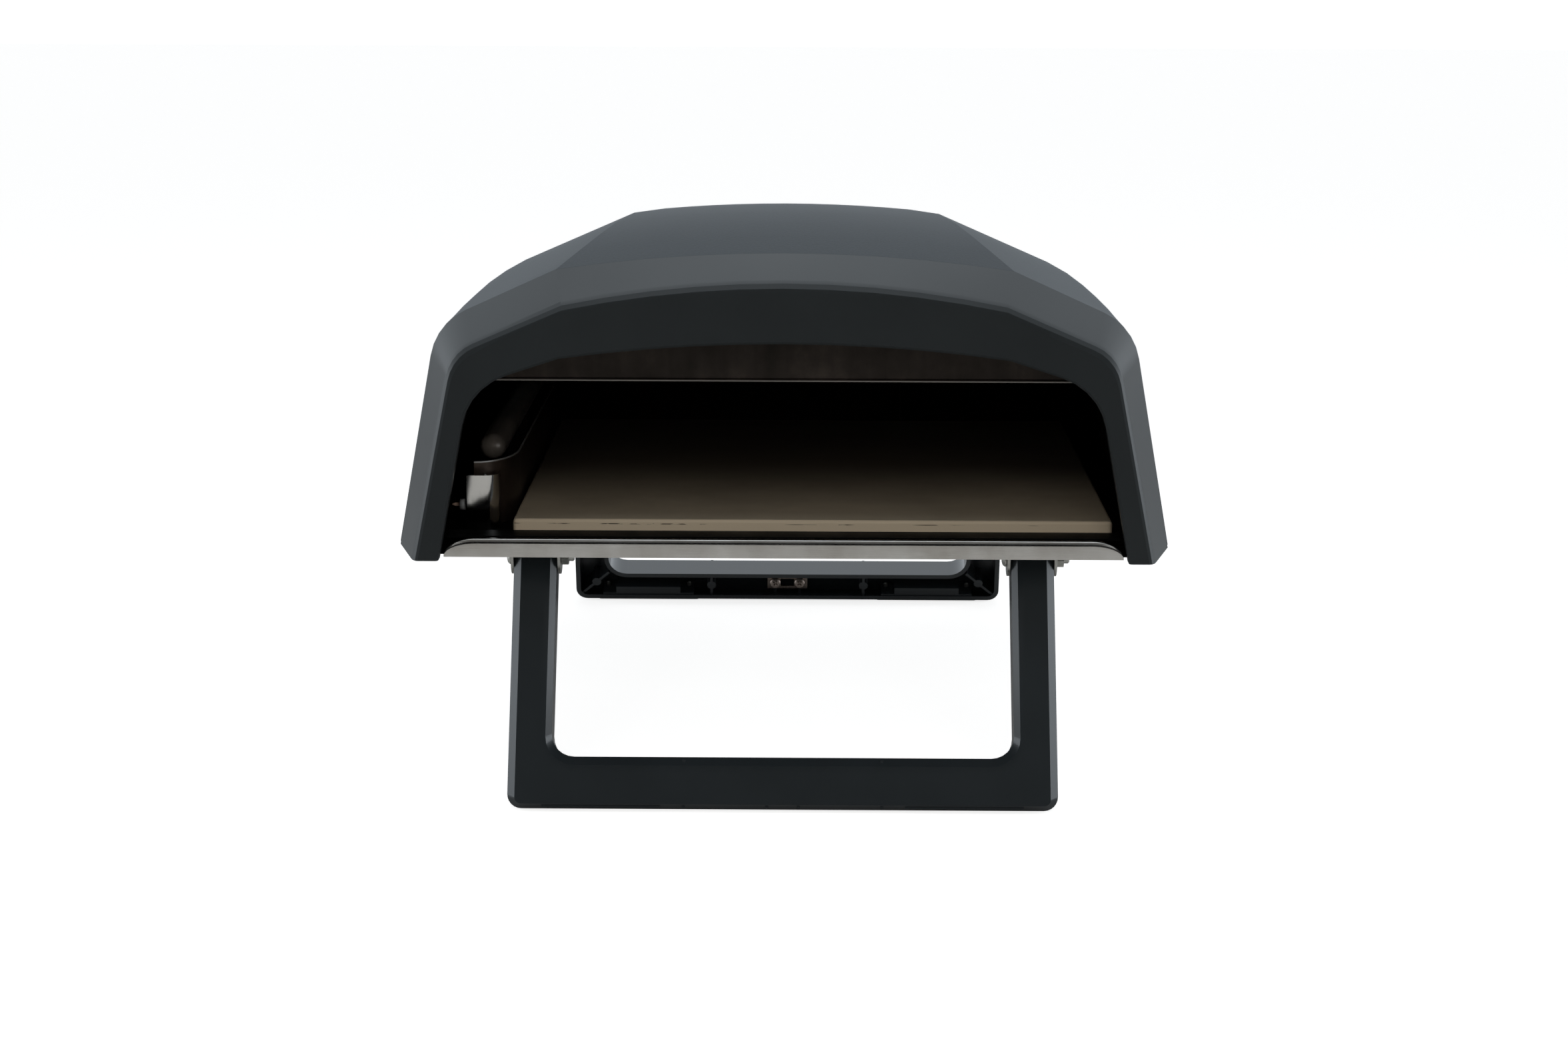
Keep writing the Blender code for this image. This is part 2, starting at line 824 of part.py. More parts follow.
def build_chamber_back(steel):
    _, (back_low, back_high) = liner_corners()
    _, back = roof_rows()
    y = liner_back_y + seat_gap
    outline = [Vector((-back_low.x, back_low.z)), Vector((back_low.x, back_low.z))]
    outline += [Vector((point.x, point.z)) for point in reversed(back)]
    panel = place("inner_back", extrusion("inner_back", outline, y, y + liner_thickness, "Y"), steel)
    radius = venturi_radius + seat_gap
    hole = turned("venturi_way", [(radius, -overrun), (radius, overrun)], "Y")
    return carve(panel, [moved(hole, (-control_side, y, base_height + burner_height))])


def build_baffle(steel):
    """A plate that hangs from the roof, with its lower edge folded into a hem."""
    front, back = roof_rows()
    y = mouth_y + baffle_setback
    share = (y - front[0].y) / (back[0].y - front[0].y)
    row = between(front, back, share)
    low = base_height + baffle_edge_height
    under = liner_thickness + 2 * seat_gap
    half = liner_half(baffle_edge_height / hood_crown, 0) - under
    top = [Vector((p.x * (1 - under / row[-1].x), max(p.z - under, low + baffle_hem))) for p in row]
    outline = [Vector((half, low)), *[p for p in reversed(top)], Vector((-half, low))]
    plate = place("heat_baffle", extrusion("heat_baffle", outline, y, y + liner_thickness, "Y"), steel)
    hem_low = (-half + under, y - baffle_hem_depth / 4, low - baffle_hem / 2)
    hem_high = (half - under, y + baffle_hem_depth, low + baffle_hem / 2)
    return carve(plate, [block("hem", hem_low, hem_high)], "UNION")


def burner_path():
    """Middle line of the L-shaped burner, from its front end round the back corner to the right."""
    z = base_height + burner_height
    front = Vector((-burner_side, mouth_y + burner_front_setback))
    corner = Vector((-burner_side, burner_back_y))
    right = Vector((burner_right_reach, burner_back_y))
    points = [front, *rounded_corner(front, corner, right, burner_bend, 6), right]
    return [Vector((p.x, p.y, z)) for p in points]


def build_burner(steel, dark):
    path = burner_path()
    ends = []
    for tip, inner in ((path[0], path[1]), (path[-1], path[-2])):
        away = (tip - inner).normalized()
        dome = []
        for k in range(5):
            turn = math.pi / 2 * k / 4.4
            dome.append((tip + away * burner_radius * (math.sin(turn) - 1), burner_radius * math.cos(turn)))
        ends.append(dome)
    front = ends[0][::-1]
    path_points = [p for p, _ in front] + path[1:-1] + [p for p, _ in ends[1]]
    radii = [r for _, r in front] + [burner_radius] * (len(path) - 2) + [r for _, r in ends[1]]
    place("burner_tube", swept("burner_tube", path_points, radii, 14), steel)
    y = burner_back_y + burner_radius + seat_gap
    end = back_reach + control_depth - control_thickness - valve_wall_gap - valve_length - seat_gap
    profile = [(venturi_radius - bracket_thickness / 2, 0), (venturi_radius - bracket_thickness / 2, end - y)]
    venturi = turned("venturi_tube", profile, "Y", 16)
    place("venturi_tube", venturi, dark, None, (-control_side, y, base_height + burner_height))
    build_burner_bracket("burner_bracket_side", dark, (-burner_side, 0, 0), 0)
    build_burner_bracket("burner_bracket_back", dark, (burner_right_reach / 2, burner_back_y, 0), math.pi / 2)


def build_burner_bracket(name, material, spot, turn):
    """An upright strip whose top is hollowed to seat the burner."""
    low = floor_z
    reach = burner_radius + seat_gap
    top = burner_height - reach * (1 - 2 * saddle_wrap_share)
    half = bracket_width / 2
    depth = bracket_thickness / 2
    strip = place(name, block(name, (-half, -depth, low), (half, depth, top)), material)
    saddle = turned("saddle", [(reach, -overrun), (reach, overrun)], "Y", 28)
    carve(strip, [moved(saddle, (0, 0, burner_height))])
    strip.location = (spot[0], spot[1], base_height)
    strip.rotation_euler = (0, 0, turn)
    return strip


def build_guard(steel):
    """The sheet between burner and stone, curved across the front of the burner."""
    front = mouth_y + guard_front_setback
    knee = Vector((-guard_side, front))
    start = Vector((-guard_start, front))
    middle = []
    for k in range(9):
        turn = math.pi / 2 * k / 8
        x = start.x + (knee.x - start.x) * math.sin(turn)
        y = front + guard_bend_run * (1 - math.cos(turn))
        middle.append(Vector((x, y)))
    middle.append(Vector((-guard_side, guard_back_reach)))
    low = base_height + floor_z
    outline = band(middle, guard_thickness)
    return place("burner_guard", extrusion("burner_guard", outline, low, base_height + guard_top), steel)


def build_igniter(steel, ceramic, copper):
    front = mouth_y + housing_front_setback
    half_wall = housing_thickness / 2
    left = -housing_left + half_wall
    right = -housing_right - half_wall
    rear = front + housing_depth
    corner = rounded_corner(
        Vector((left, front)), Vector((right, front)), Vector((right, rear)), housing_rounding, 6
    )
    path = [Vector((left, rear)), Vector((left, front + half_wall)), Vector((left + half_wall, front))]
    path += [*corner, Vector((right, rear - housing_depth / 4))]
    low = base_height + floor_z
    top = base_height + housing_top
    housing = place("igniter_housing", extrusion("igniter_housing", band(path, housing_thickness), low, top), steel)
    y = mouth_y + electrode_setback
    z = base_height + electrode_height
    radius = electrode_radius + seat_gap
    hole = turned("electrode_way", [(radius, -overrun), (radius, overrun)], "X", 16)
    carve(housing, [moved(hole, (left, y, z))])
    nut = -seat_gap - electrode_nut
    wall = housing_thickness
    profile = [
        (electrode_tip_radius / 3, nut - electrode_tip),
        (electrode_tip_radius, nut - electrode_tip * 0.6),
        (electrode_tip_radius, nut),
        (electrode_nut_radius, nut),
        (electrode_nut_radius, -seat_gap),
        (electrode_radius, -seat_gap),
        (electrode_radius, electrode_length - electrode_tip - electrode_nut - wall),
    ]
    electrode = turned("igniter_electrode", profile, "X", 12)
    place("igniter_electrode", electrode, copper, None, (-housing_left, y, z))
    rise = housing_top + thermocouple_rise - floor_z
    rod = [
        (thermocouple_radius * 1.6, 0),
        (thermocouple_radius * 1.6, rise * 0.2),
        (thermocouple_radius, rise * 0.25),
        (thermocouple_radius, rise - thermocouple_radius),
        (thermocouple_radius / 2, rise),
    ]
    spot = (-thermocouple_side, mouth_y + thermocouple_setback, low)
    place("thermocouple", turned("thermocouple", rod, "Z", 10), ceramic, None, spot)


def build_bracket(name, steel, x, y):
    """A clevis under the base: two ears, and a plate that is open where the post turns and folds flat."""
    inner = post_width / 2 + pivot_gap
    outer = inner + ear_thickness
    wide = outer + bracket_plate_margin
    top = pivot_drop - seat_gap
    plate_low = (-wide, -bracket_plate_reach, top - bracket_plate_thickness)
    clevis = place(name, block(name, plate_low, (wide, bracket_plate_reach, top)), steel)
    near = -bracket_window
    far = bracket_plate_reach + overrun
    if y > 0:
        near, far = -far, -near
    carve(clevis, [block("window", (-inner, near, 0), (inner, far, top + overrun))])
    root = ear_radius * ear_root_share
    shoulder = top - bracket_plate_thickness / 2
    arc = [(-ear_radius * math.cos(math.pi * k / 10), -ear_radius * math.sin(math.pi * k / 10)) for k in range(11)]
    outline = [*arc, (root, shoulder), (-root, shoulder)]
    ears = []
    for side in (-1, 1):
        low, high = sorted((side * inner, side * outer))
        ears.append(extrusion("ear", outline, low, high, "X"))
    carve(clevis, ears, "UNION")
    radius = bolt_radius + seat_gap
    reach = outer + overrun
    carve(clevis, [turned("bolt_way", [(radius, -reach), (radius, reach)], "X", 12)])
    clevis.location = (x, y, pivot_z)
    return clevis


def bolt_mesh():
    """Domed head on the left, shank, and a chamfered tip past the nut."""
    outer = post_width / 2 + pivot_gap + ear_thickness + seat_gap
    end = outer + nut_thickness + bolt_tip
    head = -outer - bolt_head_height
    profile = [
        (bolt_head_radius * 0.35, head),
        (bolt_head_radius * 0.75, head + bolt_head_height * 0.2),
        (bolt_head_radius, head + bolt_head_height * 0.65),
        (bolt_head_radius, -outer),
        (bolt_radius, -outer),
        (bolt_radius, end - bolt_radius / 3),
        (bolt_radius * 0.7, end),
    ]
    return turned("hinge_bolt", profile, "X", 12)


def nut_mesh(name, width, thickness, bore):
    """A hexagon nut along X, from zero to its thickness."""
    corner = width / 2 / math.cos(math.pi / 6)
    hexagon = [(corner * math.cos(math.pi / 3 * k), corner * math.sin(math.pi / 3 * k)) for k in range(6)]
    nut = bpy.data.objects.new(name, extrusion(name, hexagon, 0, thickness, "X"))
    bpy.context.scene.collection.objects.link(nut)
    carve(nut, [turned("bore", [(bore, -overrun), (bore, thickness + overrun)], "X", 12)])
    mesh = nut.data
    bpy.data.objects.remove(nut, do_unlink=True)
    return mesh


def build_hinges(steel):
    bolt = bolt_mesh()
    nut = nut_mesh("hinge_nut", nut_width, nut_thickness, bolt_radius + seat_gap)
    post_x = leg_half_width - post_width / 2
    seat = post_width / 2 + pivot_gap + ear_thickness + seat_gap
    for end, y in (("front", front_pivot_y), ("rear", rear_pivot_y)):
        for hand, x in (("left", -post_x), ("right", post_x)):
            build_bracket(f"hinge_bracket_{end}_{hand}", steel, x, y)
            place(f"hinge_bolt_{end}_{hand}", bolt, steel, None, (x, y, pivot_z))
            place(f"hinge_nut_{end}_{hand}", nut, steel, None, (x + seat, y, pivot_z))


def leg_floor(y, inset=0.0):
    """Height of the leg's underside at this depth, in the leg's leaning frame."""
    return -(leg_drop - y * math.sin(leg_lean)) / math.cos(leg_lean) + inset


def bar_top():
    inner_floor = leg_floor(leg_depth / 2)
    return inner_floor + leg_bar_height


def leg_loop(y, edge, post, bar, bottom, top, outer_y=None):
    """The leg's U at one depth: how far its sides are drawn in, the posts' top, and the outer edge's depth."""
    outer_y = y if outer_y is None else outer_y
    half = leg_half_width - edge
    foot = half + leg_flare
    hole = cutout_half + post
    hole_foot = hole + leg_flare
    low = leg_floor(outer_y, bottom)
    ledge = bar_top() - bar
    outer = max(leg_outer_rounding - edge, leg_outer_rounding / 4)
    inner = leg_inner_rounding + post
    points = [
        (half, top),
        (foot, low),
        (-foot, low),
        (-half, top),
        (-hole, top),
        (-hole_foot, ledge),
        (hole_foot, ledge),
        (hole, top),
    ]
    radii = (0, outer, outer, 0, 0, inner, inner, 0)
    outline = rounded_outline(points, radii, 6)
    middle = len(outline) // 2
    return [(p.x, outer_y if k < middle else y, p.y) for k, p in enumerate(outline)]


def leg_block():
    """The leg's outside: a chamfered U with a low ridge on its face around the opening."""
    rim = leg_depth / 2
    face = -rim
    shoulder = face + leg_chamfer_depth
    plain = face + leg_ridge_drop
    top = rim + overrun
    edge = leg_edge_chamfer
    post = leg_post_chamfer
    bar = leg_bar_chamfer
    low = leg_bottom_chamfer
    width = leg_ridge_width
    step = leg_ridge_drop
    loops = [
        leg_loop(rim, 0, 0, 0, 0, top),
        leg_loop(shoulder, 0, 0, 0, 0, top),
        leg_loop(face, edge, post, bar, low, top, plain),
        leg_loop(plain, edge + step, post + width, bar + width, low + step, top),
    ]
    return loft("leg", loops, 30)


def leg_end_rounding():
    """A bar along X that leaves the posts' tops round about the pivot."""
    radius = leg_depth / 2
    wide = leg_half_width + leg_flare + overrun
    arc = []
    for k in range(9):
        turn = math.radians(8 + 164 * k / 8)
        arc.append((radius * math.cos(turn), radius * math.sin(turn)))
    out = leg_depth
    low = leg_floor(leg_depth) * 2
    outline = [(out, low), (out, 0), *arc, (-out, 0), (-out, low)]
    return extrusion("post_tops", outline, -wide, wide, "X")


def leg_pocket():
    rim = leg_depth / 2 + overrun
    floor = -leg_depth / 2 + leg_face_wall
    wall = leg_wall
    loops = [leg_loop(y, wall, wall, wall, wall, -pocket_top) for y in (rim, floor)]
    return loft("pocket", loops)


def strip(start, end, thickness):
    """Outline of a straight strip between two places."""
    start = Vector(start)
    end = Vector(end)
    run = (end - start).normalized()
    side = Vector((-run.y, run.x)) * thickness / 2
    return [start + side, end + side, end - side, start - side]


def web(outline_at, low_y, high_y):
    """A solid across the leg's depth, whose outline may follow the leg's slanting floor."""
    loops = [[(p[0], y, p[1]) for p in outline_at(y)] for y in (low_y, high_y)]
    return loft("web", loops)


def boss_mesh(x, z, radius, low_y, high_y, steps=14):
    return moved(turned("boss", [(radius, low_y), (radius, high_y)], "Y", steps), (x, 0, z))


def leg_ribs():
    """Ribs, bosses and foot blocks inside the bar and its corners."""
    low_y = -leg_depth / 2 + leg_face_wall / 2
    high_y = leg_depth / 2 - rib_setback
    middle = strike_height()
    ledge = bar_top()
    into = leg_wall / 2
    boss_top = leg_depth / 2 - strike_setback - strike_thickness - seat_gap
    tools = []
    for side in (-1, 1):
        bar_x = side * bar_rib_side
        screw_x = side * strike_screw_side
        near_x = side * (cutout_half + leg_flare)
        far_x = side * (leg_half_width + leg_flare - leg_outer_rounding / 2)
        corner_z = leg_floor(high_y) + leg_outer_rounding / 2
        block_x = side * foot_centre_side

        def bar_rib(y):
            return strip((bar_x, ledge - into), (bar_x, leg_floor(y) + into), rib_thickness)

        def screw_rib(y):
            return strip((screw_x, middle), (screw_x, leg_floor(y) + into), rib_thickness)

        def corner_rib(y):
            return strip((near_x, ledge), (far_x, corner_z), rib_thickness)

        def foot_block(y):
            low = leg_floor(y) + into
            pad = leg_floor(leg_depth / 2) + foot_pad_height
            top = leg_floor(leg_depth / 2) + foot_block_height
            near, far = block_x - foot_pad_half, block_x + foot_pad_half
            left, right = block_x - foot_block_half, block_x + foot_block_half
            rise = [(far, low), (far, pad), (right, pad), (right, top)]
            fall = [(left, top), (left, pad), (near, pad), (near, low)]
            return rise + fall

        tools.append(web(bar_rib, low_y, high_y))
        tools.append(boss_mesh(bar_x, middle, boss_radius, low_y, high_y))
        tools.append(web(screw_rib, low_y, boss_top - rib_setback))
        tools.append(boss_mesh(screw_x, middle, strike_boss_radius, low_y, boss_top))
        tools.append(web(corner_rib, low_y, high_y))
        start, end = Vector((near_x, ledge)), Vector((far_x, corner_z))
        spot = start + (end - start).normalized() * corner_boss_side
        tools.append(boss_mesh(spot.x, spot.y, boss_radius, low_y, high_y))
        tools.append(web(foot_block, low_y, high_y + rib_setback / 2))
    return tools


def foot_place(side):
    """Middle of a rubber foot's top face, in the leg's frame."""
    y = foot_setback * math.cos(leg_lean)
    return Vector((side * foot_centre_side, y, leg_floor(0) + foot_setback * math.sin(leg_lean)))


def upright():
    """Turns the leg's leaning frame back to the ground's."""
    return Matrix.Rotation(leg_lean, 4, "X")


def leg_cuts():
    """Bolt holes, foot recesses, foot screw holes and strike screw holes."""
    wide = leg_half_width + overrun
    radius = bolt_radius + pivot_gap
    cuts = [turned("bolt_way", [(radius, -wide), (radius, wide)], "X", 16)]
    turn = upright()
    for side in (-1, 1):
        centre = foot_place(side)
        half = foot_block_half - foot_recess_wall
        deep = foot_recess_depth / 2
        recess = block("recess", (-half, -deep, -overrun), (half, deep, foot_recess_height))
        cuts.append(moved(recess, centre, turn))
        for hand in (-1, 1):
            hole_radius = foot_screw_radius + seat_gap
            hole = turned("screw_way", [(hole_radius, -overrun), (hole_radius, foot_screw_length)], "Z", 10)
            moved(hole, (hand * foot_screw_side, 0, 0))
            cuts.append(moved(hole, centre, turn))
        x = side * strike_screw_side
        top = leg_depth / 2
        depth = strike_setback + strike_thickness + strike_screw_length
        cuts.append(boss_mesh(x, strike_height(), strike_screw_radius + seat_gap, top - depth, top, 10))
    return cuts


def strike_height():
    return leg_floor(leg_depth / 2) + leg_bar_height / 2


def leg_mesh():
    leg = bpy.data.objects.new("leg", leg_block())
    bpy.context.scene.collection.objects.link(leg)
    carve(leg, [leg_end_rounding()], "INTERSECT")
    carve(leg, [leg_pocket()])
    carve(leg, leg_ribs(), "UNION")
    carve(leg, leg_cuts())
    mesh = leg.data
    mesh.shade_smooth()
    mesh.set_sharp_from_angle(angle=math.radians(30))
    bpy.data.objects.remove(leg, do_unlink=True)
    return mesh


def foot_mesh():
    """A rubber pad whose plug fits up into the leg's recess."""
    half = foot_flange_half
    deep = foot_flange_depth / 2
    corner = deep / 3
    points = [(-half, -deep), (half, -deep), (half, deep), (-half, deep)]
    outline = rounded_outline(points, [corner] * 4, 3)
    foot = bpy.data.objects.new("foot", extrusion("foot", outline, -seat_gap - foot_thickness, -seat_gap))
    bpy.context.scene.collection.objects.link(foot)
    plug_half = foot_block_half - foot_recess_wall - seat_gap
    plug_deep = foot_recess_depth / 2 - seat_gap
    plug = block(
        "plug",
        (-plug_half, -plug_deep, -seat_gap - foot_thickness / 2),
        (plug_half, plug_deep, foot_plug_height),
    )
    carve(foot, [plug], "UNION")
    radius = foot_screw_radius + seat_gap
    for hand in (-1, 1):
        hole = turned("screw_way", [(radius, -foot_screw_bury - seat_gap), (radius, overrun)], "Z", 10)
        carve(foot, [moved(hole, (hand * foot_screw_side, 0, 0))])
    mesh = foot.data
    bpy.data.objects.remove(foot, do_unlink=True)
    return mesh


def foot_screw_mesh():
    """A stud that stands in the rubber foot and comes up through the leg's floor."""
    profile = [
        (foot_screw_radius, -foot_screw_bury),
        (foot_screw_radius, foot_screw_length - foot_screw_radius / 2),
        (foot_screw_radius / 2, foot_screw_length),
    ]
    return turned("foot_screw", profile, "Z", 8)


def strike_mesh():
    """The catch plate with its window, in the leg's face plane."""
    half = strike_half_length
    deep = strike_depth / 2
    rim = leg_depth / 2 - strike_setback
    low = rim - strike_thickness
    plate = bpy.data.objects.new("strike", block("strike", (-half, low, -deep), (half, rim, deep)))
    bpy.context.scene.collection.objects.link(plate)
    window = block(
        "window",
        (-strike_window_half, low - overrun, -strike_window_depth / 2),
        (strike_window_half, rim + overrun, strike_window_depth / 2),
    )
    cuts = [window]
    for side in (-1, 1):
        cuts.append(
            boss_mesh(side * strike_screw_side, 0, strike_screw_radius + seat_gap, low - overrun, rim + overrun, 10)
        )
    carve(plate, cuts)
    mesh = plate.data
    bpy.data.objects.remove(plate, do_unlink=True)
    return mesh


def strike_screw_mesh():
    seat = leg_depth / 2 - strike_setback + seat_gap
    profile = [
        (strike_screw_radius, seat - strike_screw_length),
        (strike_screw_radius, seat),
        (strike_head_radius, seat),
        (strike_head_radius, seat + strike_head_height * 0.4),
        (strike_head_radius * 0.8, seat + strike_head_height * 0.85),
        (strike_head_radius * 0.4, seat + strike_head_height),
    ]
    return turned("strike_screw", profile, "Y", 12)


def build_legs(paint, rubber, steel):
    meshes = leg_mesh(), foot_mesh(), foot_screw_mesh(), strike_mesh(), strike_screw_mesh()
    leg, foot, stud, strike, screw = meshes
    for end, y, turn in (("front", front_pivot_y, 0), ("rear", rear_pivot_y, math.pi)):
        axis = bpy.data.objects.new(f"{end}_leg_axis", None)
        bpy.context.scene.collection.objects.link(axis)
        axis.matrix_world = (
            Matrix.Translation((0, y, pivot_z))
            @ Matrix.Rotation(turn, 4, "Z")
            @ Matrix.Rotation(-leg_lean, 4, "X")
        )
        place(f"{end}_leg", leg, paint, axis)
        place(f"catch_strike_{end}", strike, steel, axis, (0, 0, strike_height()))
        for hand, side in (("left", -1), ("right", 1)):
            name_side = hand if end == "front" else {"left": "right", "right": "left"}[hand]
            spot = foot_place(side)
            place(f"rubber_foot_{end}_{name_side}", foot, rubber, axis, spot, (leg_lean, 0, 0))
            at = (side * strike_screw_side, 0, strike_height())
            place(f"strike_screw_{end}_{name_side}", screw, steel, axis, at)
            for number, along in ((1, -1), (2, 1)):
                offset = upright() @ Vector((along * foot_screw_side, 0, 0))
                name = f"foot_screw_{end}_{name_side}_{number}"
                place(name, stud, steel, axis, spot + offset, (leg_lean, 0, 0))


def build_leg_clips(steel):
    """A spring tongue under the base that enters each folded leg's strike."""
    clip_depth = leg_bar_height - 2 * (leg_wall + clip_side_gap)
    for end, y in (("front", front_pivot_y - strike_height()), ("rear", rear_pivot_y + strike_height())):
        top = -seat_gap
        name = f"leg_clip_{end}"
        half = clip_half_width
        low = (-half, -clip_depth / 2, top - clip_thickness)
        clip = place(name, block(name, low, (half, clip_depth / 2, top)), steel)
        tongue_half = clip_tongue_half
        thick = clip_tongue_thickness / 2
        tongue = block(
            "tongue", (-tongue_half, -thick, -clip_tongue_reach), (tongue_half, thick, top - clip_thickness / 2)
        )
        bead = turned("bead", [(clip_bead / 2, -tongue_half - thick), (clip_bead / 2, tongue_half + thick)], "X", 12)
        moved(bead, (0, 0, -clip_tongue_reach + clip_bead / 4))
        carve(clip, [tongue, bead], "UNION")
        clip.location = (0, y, base_height)


def build_control_box(paint):
    """A folded cover open towards the shell, with ways for the stem and the gas inlet."""
    half = control_half_width
    points = [(-half, control_bottom), (half, control_bottom), (half, control_top), (-half, control_top)]
    outline = rounded_outline(points, [control_rounding] * 4, 4)
    near = back_reach + seat_gap
    name = "control_box"
    box = place(name, extrusion(name, outline, near, control_face_y, "Y"), paint)
    wall = control_thickness
    inner_points = [
        (-half + wall, control_bottom + wall),
        (half - wall, control_bottom + wall),
        (half - wall, control_top - wall),
        (-half + wall, control_top - wall),
    ]
    inner = rounded_outline(inner_points, [control_rounding - wall] * 4, 4)
    hollow = extrusion("hollow", inner, near - overrun, control_face_y - wall, "Y")
    way_radius = stem_flange_radius + seat_gap * 2
    stem_way = turned("stem_way", [(way_radius, -overrun), (way_radius, overrun)], "Y", 16)
    moved(stem_way, (0, control_face_y, control_z))
    inlet_radius = inlet_thread_radius + seat_gap * 2
    inlet_way = turned("inlet_way", [(inlet_radius, -overrun), (inlet_radius, overrun)], "Z", 16)
    moved(inlet_way, (0, valve_centre_y(), control_bottom))
    carve(box, [hollow, stem_way, inlet_way])
    box.location = (-control_side, 0, base_height)
    return box


def valve_centre_y():
    return control_face_y - control_thickness - valve_wall_gap - valve_length / 2


def build_gas_valve(brass):
    """The tap's body: a block with a domed spindle housing towards the knob."""
    half = valve_width / 2
    tall = valve_height / 2
    long = valve_length / 2
    low = (-half, -long, -tall)
    valve = place("gas_valve", block("gas_valve", low, (half, long, tall)), brass)
    collar = stem_flange_radius + bracket_thickness
    nose = [
        (collar, 0),
        (collar, long + valve_wall_gap * nose_shoulder_share),
        (collar * nose_end_share, long + valve_wall_gap * nose_reach_share),
    ]
    carve(valve, [turned("spindle_housing", nose, "Y", 20)], "UNION")
    bore = stem_radius + pivot_gap
    deep = long + valve_wall_gap - stem_bury - knob_travel - seat_gap
    end = long + valve_wall_gap + overrun
    carve(valve, [turned("spindle_bore", [(bore, deep - valve_wall_gap - knob_travel / 2), (bore, end)], "Y", 20)])
    valve.location = (-control_side, valve_centre_y(), base_height + control_z)
    return valve


def build_gas_inlet(brass):
    """A hexagon and threaded nipple below the valve, open at its end for the hose."""
    corner = inlet_hex_width / 2 / math.cos(math.pi / 6)
    hexagon = [(corner * math.cos(math.pi / 3 * k), corner * math.sin(math.pi / 3 * k)) for k in range(6)]
    top = control_z - valve_height / 2 - seat_gap
    low = top - inlet_hex_height
    inlet = place("gas_inlet", extrusion("gas_inlet", hexagon, low, top), brass)
    thread = []
    turns = 4
    start = low + overrun / 2
    end = control_bottom - inlet_thread_length
    thread.append((inlet_thread_radius * 0.9, end))
    for k in range(turns):
        ridge = end + (control_bottom - end) * (k + 0.5) / turns
        valley = end + (control_bottom - end) * (k + 1) / turns
        thread.append((inlet_thread_radius, ridge))
        thread.append((inlet_thread_radius * 0.9, valley))
    thread.append((inlet_thread_radius * 0.9, start))
    carve(inlet, [turned("thread", thread, "Z", 12)], "UNION")
    bore = [(inlet_bore_radius, end - overrun), (inlet_bore_radius, end + inlet_bore_depth)]
    carve(inlet, [turned("bore", bore, "Z", 12)])
    inlet.location = (-control_side, valve_centre_y(), base_height)
    return inlet


def build_bezel(steel):
    inner = knob_radius + bezel_gap
    outer = inner + bezel_width
    low = control_face_y + seat_gap
    profile = [(outer, low), (outer, low + bezel_thickness * 0.6), (outer - bezel_thickness * 0.4, low + bezel_thickness)]
    ring = place("control_bezel", turned("control_bezel", profile, "Y", 28), steel)
    carve(ring, [turned("way", [(inner, low - overrun), (inner, low + overrun)], "Y", 28)])
    ring.location = (-control_side, 0, base_height + control_z)
    return ring


def build_knob(steel, plastic):
    """The sprung valve stem and the grip that turns on it, on one axis."""
    axis = bpy.data.objects.new("knob_axis", None)
    bpy.context.scene.collection.objects.link(axis)
    axis.location = (-control_side, control_face_y, base_height + control_z)
    inside = -control_thickness - valve_wall_gap * 0.5
    end = knob_gap + knob_depth - knob_wall - seat_gap
    profile = [
        (stem_radius * 0.85, -control_thickness - stem_bury),
        (stem_radius, -control_thickness - stem_bury + stem_radius / 4),
        (stem_radius, inside + knob_travel + seat_gap),
        (stem_flange_radius, inside + knob_travel + seat_gap),
        (stem_flange_radius, inside + knob_travel + seat_gap + stem_flange),
        (stem_radius, inside + knob_travel + seat_gap + stem_flange),
        (stem_radius, end - stem_radius / 4),
        (stem_radius * 0.85, end),
    ]
    place("valve_stem", turned("valve_stem", profile, "Y", 16), steel, axis)
    top = knob_radius * knob_top_share
    skirt = [(knob_radius, knob_gap), (knob_radius, knob_gap + knob_depth / 4)]
    skirt += [(top, knob_gap + knob_depth * 0.9), (top * 0.92, knob_gap + knob_depth)]
    grip = place("control_knob", turned("control_knob", skirt, "Y", 32), plastic, axis)
    hollow_end = knob_gap + knob_depth - knob_wall
    bore = stem_radius + seat_gap
    carve(grip, [turned("bore", [(bore, knob_gap - overrun), (bore, hollow_end)], "Y", 16)])
    flutes = []
    for k in range(grip_flutes):
        turn = 2 * math.pi * (k + 0.5) / grip_flutes
        spot = (knob_radius + knob_grip_depth) * math.cos(turn), (knob_radius + knob_grip_depth) * math.sin(turn)
        flute_radius = knob_radius * knob_grip_share
        low = knob_gap + knob_depth / 4
        flute = turned("flute", [(flute_radius, low), (flute_radius, knob_gap + knob_depth + overrun)], "Y", 10)
        flutes.append(moved(flute, (spot[0], 0, spot[1])))
    carve(grip, flutes)
    return grip


